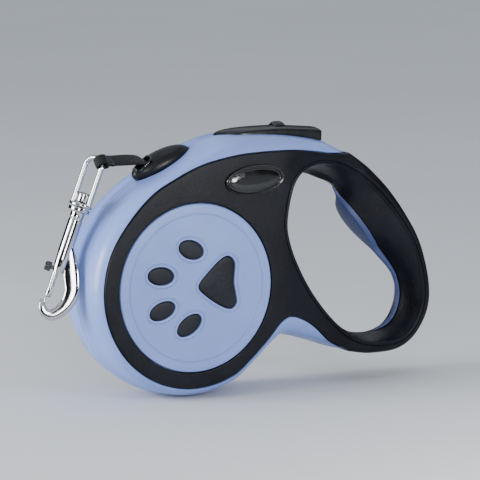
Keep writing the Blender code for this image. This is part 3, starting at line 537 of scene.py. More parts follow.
OPENING_EDGE = [  # at the parting plane x, z | at the ridge x, z | 1 where the grip insert lies
    (49.6, 30, 47, 28, 0), (51.2, 17, 49, 15, 0), (58, 2, 56, 0.5, 0),
    (67, -10, 65, -12, 0), (78, -21.6, 76.5, -23.8, 0), (90, -30, 89, -32.2, 0),
    (103, -30.2, 103.5, -34.6, 1), (112.4, -25.4, 115.5, -31.2, 1), (116.2, -15.5, 122.6, -20, 1),
    (113.6, -4.6, 122.8, -5, 1), (104.6, 5.6, 117.4, 11.6, 1), (95, 15.4, 109, 24.6, 1),
    (86.6, 26, 98.6, 36.4, 1), (80.4, 37.4, 86.6, 45.8, 1), (72.4, 43.8, 75.4, 50.8, 0),
    (62, 46.6, 62.4, 51.8, 0), (53.4, 42, 51.8, 45.4, 0),
]
FINE = 8  # points along each span of an outline
ROUND = 180  # points round the disc
SHOULDER = [(0.0, 0.34), (0.02, 0.48), (0.10, 0.65), (0.24, 0.77), (0.48, 0.87), (0.78, 0.94), (1.0, 0.965)]


def casing_outline():
    """The closed outline, and the places in it of the casing's two tips on the handle."""
    around = through(TOPSIDE + UNDERSIDE[1:], FINE)
    back = through(BACK_WALL, FINE)
    nose = FINE * (len(TOPSIDE) - 1)
    top, under = around[:nose], around[nose:]
    return under + back + top, len(under) - 1, len(under) + len(back)


def cover_height(x, z):
    """The side cover's face falls from the body's thickness to the handle's."""
    return COVER_FACE - (COVER_FACE - HANDLE_HEIGHT) * smoothstep((x - 44.0) / 42.0)


def seat_height(x, z):
    return cover_height(x, z) - COVER_THICKNESS - COVER_GAP


def insert_half_width(z):
    """The insert is widest at the fingers' bump and a narrow line elsewhere round the grip."""
    bump = max(0.0, 1.0 - ((z - BUMP_HEIGHT) / BUMP_REACH) ** 2)
    return INSERT_LINE + (INSERT_HEIGHT - INSERT_LINE) * bump


def shell(bm):
    """One half of the casing: seam, crowned band, rounded shoulder, the cover's seat and the cavity."""
    outline, _, _ = casing_outline()
    silhouette = [p[0:2] for p in outline]
    edge = [p[2:4] for p in outline]
    inner = [p[4:6] for p in outline]
    shown = [smoothstep(1.7 * p[6]) for p in outline]

    def crowned(height_share):
        """The band's outline, which draws in a little towards the shoulder."""
        return offset(silhouette, [-0.75 * s * height_share**2 for s in shown])

    def level(below_seat, share):
        made = []
        for p, s in zip(outline, shown):
            plain = seat_height(*p[2:4]) - below_seat
            made.append(plain + (cover_height(*p[2:4]) * share - plain) * s)
        return made

    recess = offset(edge, [-0.15 * s for s in shown])
    seam = offset(silhouette, [-0.22 * s for s in shown])
    steps = [(seam, PART), (crowned(0.0), PART + 0.22), (crowned(0.3), level(8.0, 0.14)),
             (crowned(0.65), level(5.5, 0.25))]
    for k, (share, height) in enumerate(through(SHOULDER, 3)):
        below = 3.0 - 2.4 * k / (3 * (len(SHOULDER) - 1))
        steps.append(([toward(s, f, share) for s, f in zip(crowned(1.0), edge)], level(below, height)))
    steps.append((offset(edge, [-0.06 * s for s in shown]), level(0.45, 0.955)))
    steps.append((recess, [seat_height(*p) for p in recess]))
    stack(bm, steps)
    stack(bm, [(inner, [seat_height(*p) - SHELL_WALL for p in inner]), (inner, PART)])
    fill(bm, [seam, inner], PART)
    for loop, height in ((inner, lambda x, z: seat_height(x, z) - SHELL_WALL), (recess, seat_height)):
        fill(bm, [loop], height, grid_inside([loop], 3.0, (-52, -52), (90, 70), 1.2))


def tilted(centre, angle):
    """A placement at a centre, turned by an angle in degrees about Y."""
    return Matrix.Translation(centre) @ Matrix.Rotation(math.radians(angle), 4, "Y")


def ellipsoid(centre, semi, tilt):
    bm = bmesh.new()
    bmesh.ops.create_uvsphere(bm, u_segments=72, v_segments=40, radius=1.0)
    bmesh.ops.scale(bm, verts=bm.verts, vec=semi)
    bmesh.ops.transform(bm, matrix=tilted(centre, -tilt), verts=bm.verts)
    return bm


def case_cover(bm):
    """Half of the black side: the skin round the disc and half of the handle, ridged round the opening."""
    outline, low_tip, high_tip = casing_outline()
    back = through(HANDLE_BACK, FINE)
    wall = offset([p[0:2] for p in outline[low_tip : high_tip + 1]], 1.0, closed=False)[1:-1]
    skin = offset([p[2:4] for p in outline[high_tip + 1 :] + outline[:low_tip]], -0.5, closed=False)
    skin = [back[-1], *skin, back[0]]
    mouth = loop_through(OPENING_EDGE, FINE)
    opening = [p[0:2] for p in mouth]
    ridge = [p[2:4] for p in mouth]
    seat = [toward(o, r, 0.22 * min(1, max(0, p[4]))) for o, r, p in zip(opening, ridge, mouth)]
    disc = circle(DISC_RADIUS + COVER_GAP, ROUND)

    def underside(x, z):
        return cover_height(x, z) - COVER_THICKNESS

    def lowered(points, drops):
        return points, [cover_height(*p) - drop for p, drop in zip(points, drops)]

    # Outer edge: a tight rounding beside the casing, a wide one round the handle
    outer = skin + back
    last = len(back) - 1
    handle = [0.25 * max(0.0, 1 - min(k, len(skin) - 1 - k) / 10) for k in range(len(skin))]
    handle += [0.25 + 0.75 * smoothstep(min(k, last - k) / 12) for k in range(len(back))]
    base = [underside(*p) for p in skin] + [PART] * len(back)
    steps = [(outer, base)]
    for share in (0.0, 0.25, 0.5, 0.75, 1.0):
        a = share * math.pi / 2
        pull = [-(0.7 + 1.9 * w) * (1 - math.cos(a)) for w in handle]
        drop = [(0.7 + 6.6 * w) * (1 - math.sin(a)) for w in handle]
        steps.append(lowered(offset(outer, pull), drop))
    face_edge = steps[-1][0]
    stack(bm, steps)

    # The hand's opening: the insert's seat and step, the slope, the lip and the groove round it
    step = [insert_half_width(p[1]) for p in opening]
    crest = [cover_height(*p) for p in ridge]
    steps = [(seat, PART), (seat, step)]
    for reach, climb in through([(0.30, 0.15), (0.50, 0.52), (0.72, 0.80), (0.86, 0.93), (0.94, 1.0)], 3):
        steps.append(([toward(o, r, reach) for o, r in zip(opening, ridge)],
                      [h + climb * (t - 0.55 - h) for h, t in zip(step, crest)]))
    for out, drop in ((-0.32, 0.42), (-0.18, 0.12), (0.02, -0.08), (0.3, -0.12), (0.9, -0.02), (1.1, 0.06),
                      (1.22, 0.3), (1.34, 0.52), (1.5, 0.52), (1.62, 0.3), (1.74, 0.06), (1.95, 0.0)):
        steps.append(lowered(offset(ridge, out), [drop] * len(ridge)))
    crest_edge = steps[-1][0]
    stack(bm, steps)

    # The round window for the disc
    rim = [(disc, underside(0, 0)), (disc, COVER_FACE - 0.5)]
    for a in (30, 60, 90):
        window = circle(DISC_RADIUS + COVER_GAP + 0.5 * (1 - cosd(a)), ROUND)
        rim.append((window, COVER_FACE - 0.5 * (1 - sind(a))))
    stack(bm, rim)
    loops = [face_edge, crest_edge, rim[-1][0]]
    fill(bm, loops, cover_height, grid_inside(loops, 3.0, (-48, -48), (128, 66), 1.1))
    loops = [skin + wall, disc]
    fill(bm, loops, underside, grid_inside(loops, 4.0, (-48, -48), (90, 66), 1.5))
    fill(bm, [back + wall[::-1], seat], PART)
    edge = [back[0], *wall, back[-1]]
    for a, b in zip(edge, edge[1:]):
        corners = [(a[0], PART, a[1]), (b[0], PART, b[1]),
                   (b[0], underside(*b), b[1]), (a[0], underside(*a), a[1])]
        bm.faces.new([bm.verts.new(c) for c in corners])


def grip_insert():
    """The soft pad along the inside of the grip, crowned across both halves with rolled edges."""
    run = [p for p in loop_through(OPENING_EDGE, FINE) if p[4] > 0.95]
    stations = []
    for k, p in enumerate(run):
        end = smoothstep((min(k, len(run) - 1 - k) + 0.6) / 7)
        half = (insert_half_width(p[1]) - GAP) * (0.25 + 0.75 * end)
        reach = math.dist(p[0:2], p[2:4])
        seat = toward(p[0:2], p[2:4], 0.22 - COVER_GAP / reach)
        section = [(seat, -half)]
        for j in range(25):
            a = math.pi * j / 24
            rise = math.sin(a) ** 0.55
            section.append((toward(p[0:2], p[2:4], 0.13 - 0.125 * rise * end), -half * math.cos(a)))
        section.append((seat, half))
        stations.append([(q[0], y, q[1]) for q, y in section])
    return sweep(bmesh.new(), stations)


TOES = (((-2.7, 17.6), 6.4, 4, -20), ((-18, 6.7), 6.5, 3.9, -7),
        ((-17.3, -9.1), 6.5, 3.8, 18), ((-3.7, -16.7), 6.7, 3.9, 32))
HEEL = [(1.2, 0.6), (6, 6.6), (12.6, 12.2), (16.6, 13.2), (19.4, 10.2), (19.2, 4.6),
        (19, 1), (19.8, -3.2), (20.4, -8.2), (17.6, -10.6), (12.4, -8.8), (5.4, -4.2)]
OUTLINE_AWAY = 1.7  # from a pad's edge to the middle of the line engraved round it


def pads(grow, flip):
    """The outlines of the paw's five pads, grown by a clearance; the back's are seen from behind."""
    made = [oval(c, a + grow, b + grow, t, 48) for c, a, b, t in TOES]
    made.append(offset([p for p in loop_through(HEEL, 7)][::-1], grow))
    return [[(-x, z) for x, z in points] for points in made] if flip else made


def groove(bm, outline_at, middle, face, wide, deep):
    """A soft engraved line; outline_at gives its outline at any distance. Returns its two edges."""
    profile = ((-1, 0.0), (-0.5, 0.4), (-0.2, 0.9), (0.2, 0.9), (0.5, 0.4), (1, 0.0))
    steps = [(outline_at(middle + out * wide), face - deep * low) for out, low in profile]
    stack(bm, steps)
    return steps[0][0], steps[-1][0]


def disc_cover(bm, flip):
    """The round cover: rounded rim, a groove round its field and a line engraved round each pad's window."""
    base, roof, face = SHELL_FACE + GAP, SHELL_FACE + 2 * GAP + 0.7, COVER_FACE + DISC_PROUD
    outer, hollow = circle(DISC_RADIUS, ROUND), circle(DISC_RADIUS - 4.0, ROUND // 2)
    rim = [(outer, base), (outer, face - 0.9)]
    for a in (15, 30, 45, 60, 75, 90):
        rim.append((circle(DISC_RADIUS - 0.9 * (1 - cosd(a)), ROUND), face - 0.9 * (1 - sind(a))))
    stack(bm, rim)
    field_in, field_out = groove(bm, lambda r: circle(r, ROUND), FIELD_RADIUS, face, 0.55, 0.35)
    fill(bm, [rim[-1][0], field_out], face)

    windows, lines = [], []
    for k in range(len(TOES) + 1):
        inner_edge, line = groove(bm, lambda r, k=k: pads(r, flip)[k], OUTLINE_AWAY, face, 0.46, 0.42)
        window, chamfer, lip = (pads(GAP + out, flip)[k] for out in (0.0, 0.09, 0.3))
        stack(bm, [(window, roof), (window, face - 0.3), (chamfer, face - 0.09), (lip, face)])
        fill(bm, [inner_edge, lip], face)
        lines.append(line)
        windows.append(window)
    loops = [field_in, *lines]
    fill(bm, loops, face, grid_inside(loops, 3.0, (-36, -36), (36, 36), 1.0))
    fill(bm, [outer, hollow], base)
    fill(bm, [hollow, *windows], roof)
    bridge(bm, ring(bm, hollow, base), ring(bm, hollow, roof))


def paw_plate(bm, flip):
    """The five pads on their common web, each softly domed with a rounded edge."""
    web = circle(DISC_RADIUS - 4.6, ROUND // 2)
    base, roof, face = SHELL_FACE + GAP, SHELL_FACE + GAP + 0.7, COVER_FACE + 0.1
    outlines = pads(0.0, flip)
    fill(bm, [web], base)
    fill(bm, [web, *outlines], roof)
    bridge(bm, ring(bm, web, base), ring(bm, web, roof))
    for k, outline in enumerate(outlines):
        steps = [(outline, roof), (outline, face - 0.75)]
        for a in (20, 40, 60, 80):
            steps.append((pads(-0.7 * (1 - cosd(a)), flip)[k], face - 0.75 + 0.6 * sind(a)))
        for inward, rise in ((-1.0, -0.08), (-1.4, -0.03)):
            steps.append((pads(inward, flip)[k], face + rise))
        stack(bm, steps)
        fill(bm, [steps[-1][0]], face - 0.03)


def badge(bm):
    """The oval plate on the side cover: a double rim round a domed, blank field."""
    profile = [(0, 0.3), (0, 0.85), (-0.12, 1.12), (-0.4, 1.27), (-0.7, 1.2), (-0.95, 0.92),
               (-1.15, 0.86), (-1.4, 0.95), (-1.65, 1.14), (-1.9, 1.16), (-2.15, 1), (-2.4, 0.92),
               (-3, 1.04), (-3.7, 1.15), (-4.5, 1.24), (-5.3, 1.29)]
    capped(bm, [(oval((29.6, 47.4), 15.0 + grow, 6.8 + grow, 4, 120), COVER_FACE + height)
                for grow, height in profile])


def screw(node, place, face_y, tip_y):
    """A pan-head screw with a cross recess, on the back."""
    radius = 2.0
    profile = [(0.4, tip_y), (0.95, tip_y + 1.0), (1.0, face_y - 2.0), (radius - 0.1, face_y - 1.1),
               (radius, face_y - 0.95), (radius, face_y - 0.6)]
    for a in (20, 40, 60, 80):
        profile.append((radius * (1 - 0.45 * (1 - cosd(a))), face_y - 0.6 + 0.5 * sind(a)))
    made = piece(node + "_cross", turned(profile, 40, place), STEEL, "housing", [node])
    centre = Vector((place[0], face_y, place[1]))
    for turn in (25, 115):
        carve(made, [box((-1.2, -0.75, -0.25), (1.2, 0.6, 0.25), tilted(centre, turn))])


def counterbore(place, face_y, tip_y):
    return turned([(1.3, tip_y - 0.5), (1.3, face_y - 2.5), (2.3, face_y - 2.4), (2.3, face_y - 0.25),
                   (2.55, face_y + 0.02), (2.6, face_y + 2.0)], 48, place)


RING_SCREWS = [(42.8 * cosd(a), 42.8 * sind(a)) for a in (150, 215, 262, 318)]
HANDLE_SCREWS = ((90.0, 47.0), (92.0, -36.2))
MOUTH_CENTRE, MOUTH_TILT = Vector((-8.6, 0.0, 55.4)), 22.0
MOUTH_SEMI, MOUTH_POCKET = (15.2, 6.4, 5.6), (15.6, 6.8, 6.0)
LOCK_MIDDLE, LOCK_BASE, LOCK_HALF = 51.6, 68.9, 3.0
BUTTON_PROFILE = (  # x, half width, underside z, edge z, crown z
    (19, 0.6, 66.4, 67.1, 67.4), (22.5, 3.9, 64.6, 67.5, 68.2), (29, 6.9, 64.6, 67.6, 69),
    (38, 7.5, 64.6, 68, 69.3), (50, 7.6, 64.4, 68.2, 69.2), (61, 7.6, 63.6, 67.5, 68.4),
    (70.5, 7.6, 62.9, 66.6, 67.5), (71, 7.4, 62.9, 66.2, 67),
)


def ring_bores():
    return [counterbore(place, COVER_FACE, -6.0) for place in RING_SCREWS]


def button_pocket():
    """The opening in the casing that the button sinks into."""
    stations = []
    for x, half, _, _, _ in [*through(BUTTON_PROFILE[:-1], 6), BUTTON_PROFILE[-1]]:
        end = 0.5 if x > 70.6 else -0.5 if x < 19.5 else 0.0
        stations.append([(x + end, y, z) for y, z in
                         ((-half - 0.4, 58.0), (half + 0.4, 58.0), (half + 0.4, 74.0), (-half - 0.4, 74.0))])
    return sweep(bmesh.new(), stations)


def brake_button():
    """The long rocker: pointed nose, crowned top, a crease along each side and a thin foot under it."""
    stations = []
    for x, half, low, edge, crown in [*through(BUTTON_PROFILE[:-1], 8), BUTTON_PROFILE[-1]]:
        low -= 1.0 * smoothstep((x - 20.0) / 6.0)
        side = [(half, low), (half, low + 0.35 * (edge - low)), (half + 0.1, low + 0.42 * (edge - low)),
                (half + 0.1, edge - 0.5), (half - 0.05, edge - 0.12),
                (half - 0.35, edge + 0.12 * (crown - edge))]
        for k in range(1, 7):
            a = k / 7
            side.append((half * (1 - a) - 0.2 * (1 - a), edge + (crown - edge) * (1 - (1 - a) ** 2.4)))
        section = [(-y, z) for y, z in side] + [(0.0, crown)] + side[::-1]
        stations.append([(x, y, z) for y, z in section])
    return sweep(bmesh.new(), stations)


def lock_slider():
    """The lock's tab: sloping sides, a domed top and slanting finger ridges."""
    stations = []
    count = 72
    for k in range(count + 1):
        u = -1 + 2 * k / count
        x = LOCK_MIDDLE + LOCK_HALF * u
        rise = max(0.0, 1 - abs(u) ** 5)
        section = [(x, -LOCK_HALF, LOCK_BASE), (x, LOCK_HALF, LOCK_BASE)]
        for j in range(33):
            v = 1 - j / 16
            dome = 0.25 + 1.75 * rise * max(0.0, 1 - abs(v) ** 3.2) ** 0.8
            ridges = 0.13 * math.sin(2 * math.pi * (3.0 * u + 1.2 * v) / 1.3)
            ridges *= smoothstep(2.5 * (1 - abs(v))) * rise
            section.append((x, LOCK_HALF * v * 0.999, LOCK_BASE + dome + ridges))
        stations.append(section)
    return sweep(bmesh.new(), stations)


# Tape and snap

def roll_tangent():
    """Where the tape leaves the roll for the mouth, with its direction there."""
    radius = (ROLL_HIGH.x - ROLL_LOW.x) / MM / 2 + GAP + TAPE_THICKNESS / 2
    angle = math.atan2(MOUTH.z, MOUTH.x) - math.acos(radius / math.hypot(MOUTH.x, MOUTH.z))
    start = Vector((radius * math.cos(angle), 0.0, radius * math.sin(angle)))
    return start, (MOUTH - start).normalized()


def tape_route():
    """The tape's middle line from the roll to the neck, as in the CAD, with its tilt at each point."""
    start, along = roll_tangent()
    start = start + along * 0.4
    inside_run = [start + (MOUTH - start) * share for share in (0.0, 0.35, 0.7, 0.9)]
    bend = [(MOUTH.x - 1.2, 0.0, MOUTH.z + 0.55), (-18.4, -0.1, 57.1), (-21.0, -0.4, 57.5),
            (-25.0, -0.9, 57.7), (-30.0, -1.5, 57.8), tuple(NECK)]
    tilts = [0, 0, 3, 10, 16, 22, 27, 30, 31, 32]
    run = through([(*p, t) for p, t in zip([Vector(p) for p in inside_run + bend], tilts)], 6)
    return [Vector(p[:3]) for p in run], [math.radians(p[3]) for p in run]


def rolled(u):
    """How full a band is at u, from -1 to 1 across it: level, and rounded off at both edges."""
    return (1 - abs(u) ** 7) ** 0.5


def both_faces(count, at):
    """A band's section: at(u, 1) across one face, then at(u, -1) back across the other."""
    run = [-1 + 2 * j / count for j in range(count + 1)]
    return [at(u, 1) for u in run] + [at(u, -1) for u in run[::-1]]


def ribbon(bm, route, tilts, half_widths, thicknesses):
    """A flat woven band with rolled edges; returns each station's middle, across and normal."""
    stations, frames = [], []
    for k, point in enumerate(route):
        along = heading(route, k)
        across = Vector((0.0, math.cos(tilts[k]), math.sin(tilts[k])))
        across = (across - along * across.dot(along)).normalized()
        normal = along.cross(across)
        wide, thick = across * half_widths[k], normal * (thicknesses[k] / 2)
        stations.append(both_faces(
            12, lambda u, face: point + wide * u + thick * (face * (0.86 * rolled(u) + 0.14))))
        frames.append((point, across, normal))
    sweep(bm, stations)
    return frames


def stitches(bm, first, last, count, thread=0.16):
    """A row of short thread dashes lying on a surface between two points."""
    step = (last - first) / count
    for k in range(count):
        a = first + step * (k + 0.14)
        b = first + step * (k + 0.86)
        away = (0, 1, 0) if abs(step.normalized().y) < 0.9 else (0, 0, 1)
        lift = step.cross(Vector(away)).normalized()
        path = [a - lift * 0.1, a + (b - a) * 0.2 + lift * 0.02, (a + b) / 2, b + (a - b) * 0.2, b]
        sweep(bm, tube(path, [thread * 0.4, thread, thread, thread, thread * 0.4], 6))


def snap_frame(turn):
    down = Vector((-math.sin(SNAP_TILT), 0.0, -math.cos(SNAP_TILT)))
    across = Vector((math.cos(SNAP_TILT), 0.0, -math.sin(SNAP_TILT)))
    side = math.cos(turn) * across - math.sin(turn) * Vector((0.0, 1.0, 0.0))
    return down, side, down.cross(side)


def on_snap(side_way, down_way, turn, lift=0.0):
    down, side, normal = snap_frame(turn)
    return EYE_TOP + down * down_way + side * side_way + normal * lift


def along_snap(profile, centre_side, turn, segments):
    """A round piece whose length runs down the snap, from (down, radius) pairs."""
    down, side, normal = snap_frame(turn)
    stations = []
    for way, radius in profile:
        middle = EYE_TOP + down * way + side * centre_side
        stations.append([middle + radius * (math.cos(t) * side + math.sin(t) * normal)
                         for t in turns(segments)])
    return sweep(bmesh.new(), stations)


def rounded(profile, radius=0.3, steps=4):
    """A turned profile with each inner corner replaced by a small arc."""
    made = [profile[0]]
    for a, b, c in zip(profile, profile[1:], profile[2:]):
        a, b, c = Vector(a), Vector(b), Vector(c)
        cut = min(radius, 0.45 * (a - b).length, 0.45 * (c - b).length)
        start, end = b + (a - b).normalized() * cut, b + (c - b).normalized() * cut
        for k in range(steps + 1):
            t = k / steps
            made.append(tuple(start * (1 - t) ** 2 + b * 2 * t * (1 - t) + end * t * t))
    return made + [profile[-1]]


def swivel_eye():
    """The wire loop that the tape goes through, open at its foot."""
    path = [on_snap(EYE_BEND * math.cos(a), EYE_BEND - EYE_BEND * math.sin(a), EYE_TURN)
            for a in [math.pi * k / 40 for k in range(41)]]
    legs = [EYE_BEND + (EYE_LENGTH - EYE_BEND) * (k + 1) / 8 for k in range(8)]
    path = ([on_snap(EYE_BEND, way, EYE_TURN) for way in legs[::-1]] + path
            + [on_snap(-EYE_BEND, way, EYE_TURN) for way in legs])
    return sweep(bmesh.new(), tube(path, EYE_WIRE, 24))


def eye_plate():
    """The round plate on the stud, with a hole in its middle."""
    down, side, normal = snap_frame(EYE_TURN)
    section = [(1.9, 21.7), (2.1, 21.6), (4.9, 21.6), (5.15, 21.7), (5.3, 21.95), (5.3, 22.85), (5.15, 23.1),
               (4.9, 23.2), (2.1, 23.2), (1.9, 23.1)]
    return sweep(bmesh.new(), [[EYE_TOP + (math.cos(a) * side + math.sin(a) * normal) * r + down * way
                                for r, way in section] for a in turns(64)], close=True)


def squared(value, power):
    """A sine or cosine drawn towards 1 or -1, which turns an ellipse into a rounded rectangle."""
    return math.copysign(abs(value) ** power, value)


def hook_bow():
    """The bow of the hook: flat faced, with rounded edges, from the barrel round to the gate's tip."""
    down, side, normal = snap_frame(SNAP_TURN)
    run = through([
        (1.4, 41.5, 1.7), (3.4, 46.5, 2.8), (6.0, 53.0, 3.7), (8.6, 60.0, 3.4), (7.9, 67.0, 3.0),
        (4.4, 72.2, 2.7), (0.4, 72.9, 2.2), (-2.0, 70.0, 1.6), (-2.3, 67.2, 1.1),
    ], 9)
    stations = []
    for k, (across, way, half) in enumerate(run):
        a, b = run[max(k - 1, 0)], run[min(k + 1, len(run) - 1)]
        along = Vector((b[0] - a[0], b[1] - a[1])).normalized()
        out = (side * along.y - down * along.x).normalized()
        middle = on_snap(across, way, SNAP_TURN)
        thick = min(2.0, half + 0.3)
        stations.append([middle + out * half * squared(math.cos(t), 0.62)
                         + normal * thick * squared(math.sin(t), 0.62) for t in turns(32)])
    return sweep(bmesh.new(), stations)


def make_tape():
    route, tilts = tape_route()
    count = len(route)
    half = TAPE_WIDTH / 2
    widths = [half - 0.25 * smoothstep((k / (count - 1) - 0.8) / 0.2) for k in range(count)]
    bm = bmesh.new()
    ribbon(bm, route, tilts, widths, [TAPE_THICKNESS] * count)
    tape = piece("tape_lead_woven", bm, TAPE, None, ["tape_lead"], sharp=50)
    return tape, route


def make_loop():
    """The end of the tape sewn round the eye: a soft sleeve on the wire and a two-ply tongue to the neck."""
    down, side, _ = snap_frame(EYE_TURN)
    shoulder = EYE_TOP + down * (EYE_BEND * (1 - math.sqrt(0.5))) + side * (EYE_BEND * math.sqrt(0.5))
    axis = (side + down).normalized()
    toward_neck = (NECK - shoulder).normalized()
    out = (toward_neck - axis * toward_neck.dot(axis)).normalized()
    other = axis.cross(out)
    bm = bmesh.new()
    stations = []
    for a in turns(48):
        ray = math.cos(a) * out + math.sin(a) * other
        half = 2.4 * (1.0 + 0.35 * max(0.0, math.cos(a)) ** 3)
        stations.append(both_faces(10, lambda u, face: (
            shoulder + axis * (half * u) + ray * (SLEEVE_RADIUS + face * PLY * rolled(u)))))
    sweep(bm, stations, close=True)
    last = 16
    start, reach = SLEEVE_RADIUS - 0.1, (NECK - shoulder).length - 2.3
    ends = [shoulder + toward_neck * (start + reach * k / last) for k in range(last + 1)]
    tilts = [math.radians(48 - 15 * k / last) for k in range(last + 1)]
    widths = [2.5 + 1.25 * smoothstep(k / last) for k in range(last + 1)]
    thick = [2.2 - 0.9 * smoothstep(k / 10) for k in range(last + 1)]
    tongue = ribbon(bm, ends, tilts, widths, thick)
    loop = piece("tape_loop_sewn", bm, TAPE, "clip", ["tape_loop"], sharp=50)

    def on_tongue(k, edge, margin, face):
        point, across, normal = tongue[k]
        return point + across * edge * (widths[k] - margin) + normal * face * (thick[k] / 2 + 0.02)

    bm = bmesh.new()
    for face in (1, -1):
        for k in (4, 7, 13, 15):
            stitches(bm, on_tongue(k, -1, 0.5, face), on_tongue(k, 1, 0.5, face), 5)
        for edge in (-1, 1):
            stitches(bm, on_tongue(3, edge, 0.55, face), on_tongue(14, edge, 0.55, face), 6)
    thread = piece("tape_stitching", bm, THREAD, "clip", (), sharp=60)
    return loop, thread


def make_eye():
    eye = piece("swivel_eye_wire", swivel_eye(), CHROME, "clip", ["swivel_eye"], sharp=40)
    carve(eye, [eye_plate()], "UNION")
    return eye


def make_hook():
    """Stud, barrel and bow in one casting, with the bolt's bore and the slot for its knob."""
    stud = rounded([(16.4, 0.6), (16.6, 1.9), (17.2, 2.75), (20.9, 2.75), (21.1, 1.5), (23.6, 1.5),
                    (23.6, 4.9), (25.4, 4.9), (25.7, 3.4), (27, BARREL_RADIUS), (28.2, BARREL_RADIUS),
                    (28.5, 2.95), (28.9, 2.95), (29.2, BARREL_RADIUS), (48, BARREL_RADIUS), (51.5, 3),
                    (54, 2.5)])
    casting = along_snap(stud, 0.0, SNAP_TURN, 64)
    hook = piece("snap_hook_cast", casting, CHROME, "hook", ["snap_hook"])
    carve(hook, [hook_bow()], "UNION")
    bore = along_snap([(30.0, 1.7), (57.0, 1.7)], BOLT_SIDE, SNAP_TURN, 40)
    corners = ((-6.0, -1.3), (BOLT_SIDE, -1.3), (BOLT_SIDE, 1.3), (-6.0, 1.3))
    slot = sweep(bmesh.new(), [[on_snap(a, way, SNAP_TURN, b) for a, b in corners] for way in (44.6, 57.0)])
    carve(hook, [bore, slot])
    return hook


def make_bolt():
    """The sliding bolt, with its spring's spigot at one end and three grooves at the other."""
    profile = [(36.5, 0.3), (36.7, 0.45), (44.4, 0.45), (44.4, 1.2), (44.6, BOLT_RADIUS), (56.6, BOLT_RADIUS)]
    for way in (57.2, 58.9, 60.6):
        profile += [(way, BOLT_RADIUS), (way + 0.25, BOLT_RADIUS - 0.22), (way + 0.55, BOLT_RADIUS - 0.22),
                    (way + 0.8, BOLT_RADIUS)]
    profile += [(64.9, BOLT_RADIUS), (65.6, BOLT_RADIUS - 0.18), (66.0, BOLT_RADIUS - 0.7)]
    return piece("snap_bolt_plated", along_snap(profile, BOLT_SIDE, SNAP_TURN, 40), CHROME, "bolt",
                 ["snap_bolt"])


def make_knob():
    """The bolt's thumb knob, standing out sideways on a thin stalk, its rim knurled."""
    down, _, normal = snap_frame(SNAP_TURN)
    stations = []
    for across, radius, knurl in (
        (BOLT_SIDE - 0.6, 0.85, 0), (-3.5, 0.85, 0), (-3.6, 1.4, 0), (-3.75, 1.95, 0.3), (-3.95, 2.15, 1),
        (-6.0, 2.15, 1), (-6.25, 2.0, 0.4), (-6.5, 1.6, 0), (-6.6, 1.0, 0),
    ):
        middle = on_snap(across, KNOB_WAY, SNAP_TURN)
        section = []
        for t in turns(KNURLS * 4):
            r = radius - 0.16 * knurl * (0.5 - 0.5 * math.cos(KNURLS * t))
            section.append(middle + r * (math.cos(t) * down + math.sin(t) * normal))
        stations.append(section)
    return piece("bolt_thumb_knob", sweep(bmesh.new(), stations), DARK_CHROME, "bolt", ())


def make_casing():
    """Both halves of the casing with what is on each, and the posts, pockets and bores in them."""
    for side in ("back", "front"):
        front = side == "front"
        halves = {}
        for name, maker, finish, options, slot in (
            ("case_shell", shell, BLUE, (), "casing_blue"),
            ("case_cover", case_cover, BLACK, (), "side_black"),
            ("disc_cover", disc_cover, DISC_BLUE, (not front,), "casing_blue"),
            ("paw_plate", paw_plate, PAD_BLACK, (not front,), "side_black"),
            ("badge", badge, GLOSS, (), "gloss_black"),
        ):
            bm = bmesh.new()
            maker(bm, *options)
            if front:
                mirrored(bm)
            halves[name] = piece(f"{name}_{side}_moulded", bm, finish, "housing", [f"{name}_{side}"],
                                 sharp=30 if name == "case_shell" else 26, weighted=name == "case_cover")
        cover, half = halves["case_cover"], halves["case_shell"]
        bores = [counterbore(place, HANDLE_HEIGHT, -7.0) for place in HANDLE_SCREWS]
        if front:
            posts = [turned([(2.4, -SHELL_FACE + 0.6), (2.4, SHELL_FACE - SHELL_WALL - GAP)], 32, place)
                     for place in RING_SCREWS]
            carve(half, posts, "UNION")
        else:
            bores += ring_bores()
        carve(half, [*ring_bores(), button_pocket(), ellipsoid(MOUTH_CENTRE, MOUTH_POCKET, MOUTH_TILT)])
        carve(cover, bores)
    piece("grip_insert_soft", grip_insert(), GRIP_BLUE, "housing", ["grip_insert"], sharp=50)
    for k, place in enumerate(RING_SCREWS):
        screw(f"ring_screw_{k + 1}", place, COVER_FACE - 0.5, -5.0)
    for k, place in enumerate(HANDLE_SCREWS):
        screw(f"handle_screw_{k + 1}", place, HANDLE_HEIGHT - 0.6, -6.0)


def make_mouth():
    """The oval nozzle, with a raised rim round the window that the tape runs through."""
    body = ellipsoid(MOUTH_CENTRE, MOUTH_SEMI, MOUTH_TILT)
    mouth = piece("tape_mouth_moulded", body, MOUTH_BLACK, "housing", ["tape_mouth"])
    _, along = roll_tangent()
    run = tilted(MOUTH, math.degrees(math.atan2(along.z, -along.x)))
    carve(mouth, [box((-20.0, -4.6, -1.2), (32.0, 4.6, 1.2), run)])
    # The window: a rounded frame that follows the nozzle's back, its inside cut down to the slot
    tilt = tilted(MOUTH_CENTRE, -MOUTH_TILT)
    length, width, height = MOUTH_SEMI
    stations = []
    for a in turns(96):
        c, s = math.cos(a), math.sin(a)
        x, y = -8.6 + 4.3 * squared(c, 0.5), 3.6 * squared(s, 0.5)
        z = height * math.sqrt(max(0.05, 1 - (x / length) ** 2 - (y / width) ** 2))
        out = Vector((c, s, 0.0)).normalized()
        middle = Vector((x, y, z - 0.1))
        stations.append([tilt @ (middle + out * 0.5 * math.cos(t) + Vector((0, 0, 0.5 * math.sin(t))))
                         for t in turns(12)])
    rim = sweep(bmesh.new(), stations, close=True)
    piece("tape_mouth_rim", rim, GLOSS, "housing", (), sharp=60)
    carve(mouth, [box((-12.4, -3.4, 1.4), (-4.8, 3.4, 8.0), tilt)])


